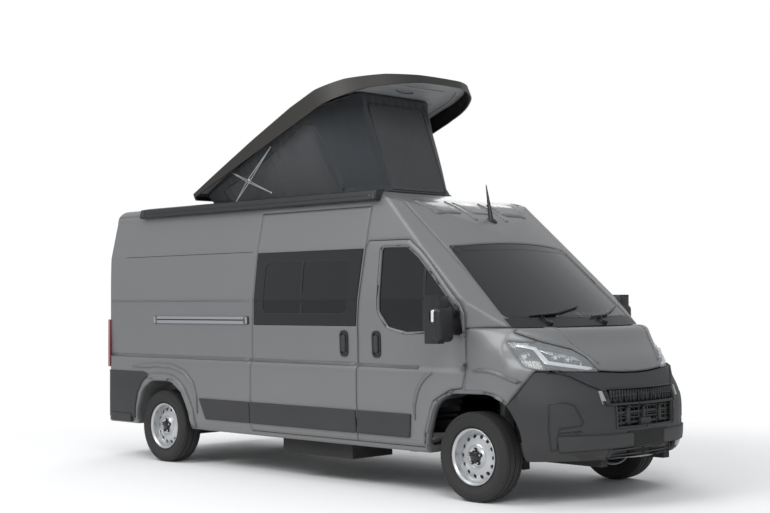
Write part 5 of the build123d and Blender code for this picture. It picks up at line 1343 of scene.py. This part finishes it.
def dress_seat(word, middle):
    """The cushions, frame, stems and seams of one seat, about its own middle line."""
    def corners(x, half, z, offset=0.0):
        """Two corners of a block from pairs along x and z and a half width."""
        return (fx(x[0]), middle + offset - half, z[0]), (fx(x[1]), middle + offset + half, z[1])

    base = pad(word + "_cushion", *corners((-1.185, -0.725), 0.212, (0.675, 0.792)), seat_cloth, round_by=0.035)
    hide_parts(word + "_seat")
    pad(word + "_back", *corners((-1.322, -1.222), 0.205, (0.790, 1.415)), seat_cloth, tilt=math.radians(-5),
        pivot=(fx(-1.26), middle, 0.80), round_by=0.035)
    pad(word + "_headrest", *corners((-1.350, -1.275), 0.122, (1.445, 1.592)), seat_cloth, grow=0.010, voxel=0.014)
    for end, offset in (("inner", -0.197), ("outer", 0.197)):
        pad(f"{word}_bolster_{end}", *corners((-1.150, -0.775), 0.026, (0.742, 0.806), offset), seat_cloth,
            round_by=0.022, grow=0.006, voxel=0.012, fill=0.85)
    plinth = [block(*corners((-1.215, -0.835), 0.20, (0.405, 0.560)), 0.02, 3),
              block(*corners((-1.225, -0.825), 0.215, (0.560, 0.600)), 0.012, 2),
              block(*corners((-1.235, -0.790), 0.222, (0.600, 0.674)), 0.018, 3)]
    piece(word + "_seat_frame", joined(plinth), trim_black, slot="seat_fabric")
    stems = [swept([(fx(-1.300), middle + offset, 1.400), (fx(-1.312), middle + offset, 1.470)], 0.006)
             for offset in (-0.055, 0.055)]
    piece(word + "_headrest_stems", joined(stems), satin_metal)
    seams = [swept([(fx(-1.165), middle + offset, 0.8045), (fx(-0.95), middle + offset, 0.8085),
                    (fx(-0.74), middle + offset, 0.7985)], 0.0028, 6) for offset in (-0.150, 0.150)]
    for i in range(4):
        x = fx(-1.11 + i * 0.095)
        seams.append(swept([(x, middle - 0.15, 0.8075), (x, middle, 0.8095), (x, middle + 0.15, 0.8075)], 0.0022, 6))
    piece(word + "_seat_seams", joined(seams), trim_black, slot="seat_fabric")


dress_seat("driver", 0.47)
dress_seat("passenger", -0.47)
bed = pad("mattress_pad", (-2.856, -0.902, 0.8925), (-1.532, 0.902, 0.998), light_cloth, round_by=0.035, grow=0.011,
          voxel=0.022)
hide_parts("mattress")
bed_edge = rounded([(-2.862, -0.908), (-1.526, -0.908), (-1.526, 0.908), (-2.862, 0.908)], 0.05, 6)
pipes = [swept([Vector((a, b, z)) for a, b in bed_edge + [bed_edge[0]]], 0.0045, 6) for z in (0.905, 0.986)]
piece("mattress_piping", joined(pipes), seat_cloth, slot="mattress_fabric")

# %% [markdown]
# The rest of the inside is seen only through glass and open doors, so it is plain but complete:
# steering wheel and column, instrument hood, vents, a screen, cupboard fronts with knobs, the
# worktop, and a sink and hob.

# %% Steering wheel, dashboard parts and kitchen
wheel_centre = Vector((fx(-0.560), 0.470, 1.170))
wheel_axis = Vector((-0.62, 0, 0.78))
rim_radius = 0.188
rim_thick = 0.0155
steering = bmesh.new()
ring = bmesh.ops.create_circle(steering, cap_ends=False, radius=rim_thick, segments=14)["verts"]
bmesh.ops.rotate(steering, cent=(0, 0, 0), matrix=Matrix.Rotation(math.pi / 2, 3, "X"), verts=ring)
bmesh.ops.translate(steering, vec=(rim_radius, 0, 0), verts=ring)
bmesh.ops.spin(steering, geom=steering.verts[:] + steering.edges[:], cent=(0, 0, 0), axis=up_way, angle=math.tau,
               steps=48, use_merge=True)
turn_to(steering, wheel_axis, wheel_centre)
bmesh.ops.recalc_face_normals(steering, faces=steering.faces)
wheel_across = Vector((0, 1, 0))
wheel_over = wheel_axis.normalized().cross(wheel_across)
spokes = [steering]
for a, b in ((1, 0.05), (-1, 0.05), (0.12, 1), (-0.12, 1)):
    spoke_end = wheel_centre + (wheel_across * a + wheel_over * b).normalized() * 0.180
    spokes.append(swept([wheel_centre - wheel_axis * 0.025, spoke_end], 0.013, 8, 0.6))
spokes.append(turned([(0, -0.012), (0.050, -0.014), (0.062, -0.024), (0.062, -0.050), (0, -0.052)], wheel_centre,
                     wheel_axis, 32))
spokes.append(swept([wheel_centre - wheel_axis * 0.05, wheel_centre - wheel_axis * 0.165], 0.036, 16))
piece("steering_wheel", joined(spokes), dash_grain)
parts = [van_block((-0.475, -0.255), (0.30, 0.64), (1.335, 1.392), 0.02, 3),
         van_block((-0.505, -0.455), (-0.13, 0.13), (1.235, 1.372), 0.012, 3)]
parts += [van_block((-0.498, -0.452), (y - 0.055, y + 0.055), (1.225, 1.295), 0.008)
          for y in (-0.80, -0.22, 0.20, 0.80)]
piece("dash_parts", joined(parts), trim_black)
piece("dash_screen", van_block((-0.5075, -0.5035), (-0.118, 0.118), (1.247, 1.360), 0.0015), gloss_black)

front_rear = -0.585         # the rear edge of the kitchen's rearmost fronts
front_step = 0.372
fronts = []
knobs = []
for low, high in ((0.47, 0.80), (0.82, 1.00), (1.02, 1.18)):
    for column in range(3):
        x = front_rear + column * front_step
        fronts.append(block((x, 0.527, low), (x + 0.358, 0.5395, high), 0.004))
        knobs.append(turned([(0.007, 0), (0.007, 0.010), (0.014, 0.016), (0.014, 0.021), (0.009, 0.025), (0, 0.025)],
                            Vector((x + 0.18, 0.5275, high - 0.05)), (0, -1, 0), 20))
piece("kitchen_fronts", joined(fronts), cupboard_white)
piece("kitchen_knobs", joined(knobs), satin_metal)
piece("kitchen_top", block((-0.598, 0.522, 1.292), (0.530, 0.915, 1.3135), 0.006, 3), dash_grain,
      slot="cabinet_board")
worktop_z = 1.3135
hob = [turned([(0.030, worktop_z), (0.030, 1.322), (0.050, 1.322), (0.052, worktop_z)], Vector((x, 0.72, 0)), up_way,
              32) for x in (0.20, 0.40)]
hob.append(turned([(0.165, worktop_z), (0.165, 1.3175), (0.175, 1.3175), (0.178, worktop_z)],
                  Vector((-0.32, 0.72, 0)), up_way))
piece("hob_and_sink", joined(hob), satin_metal)
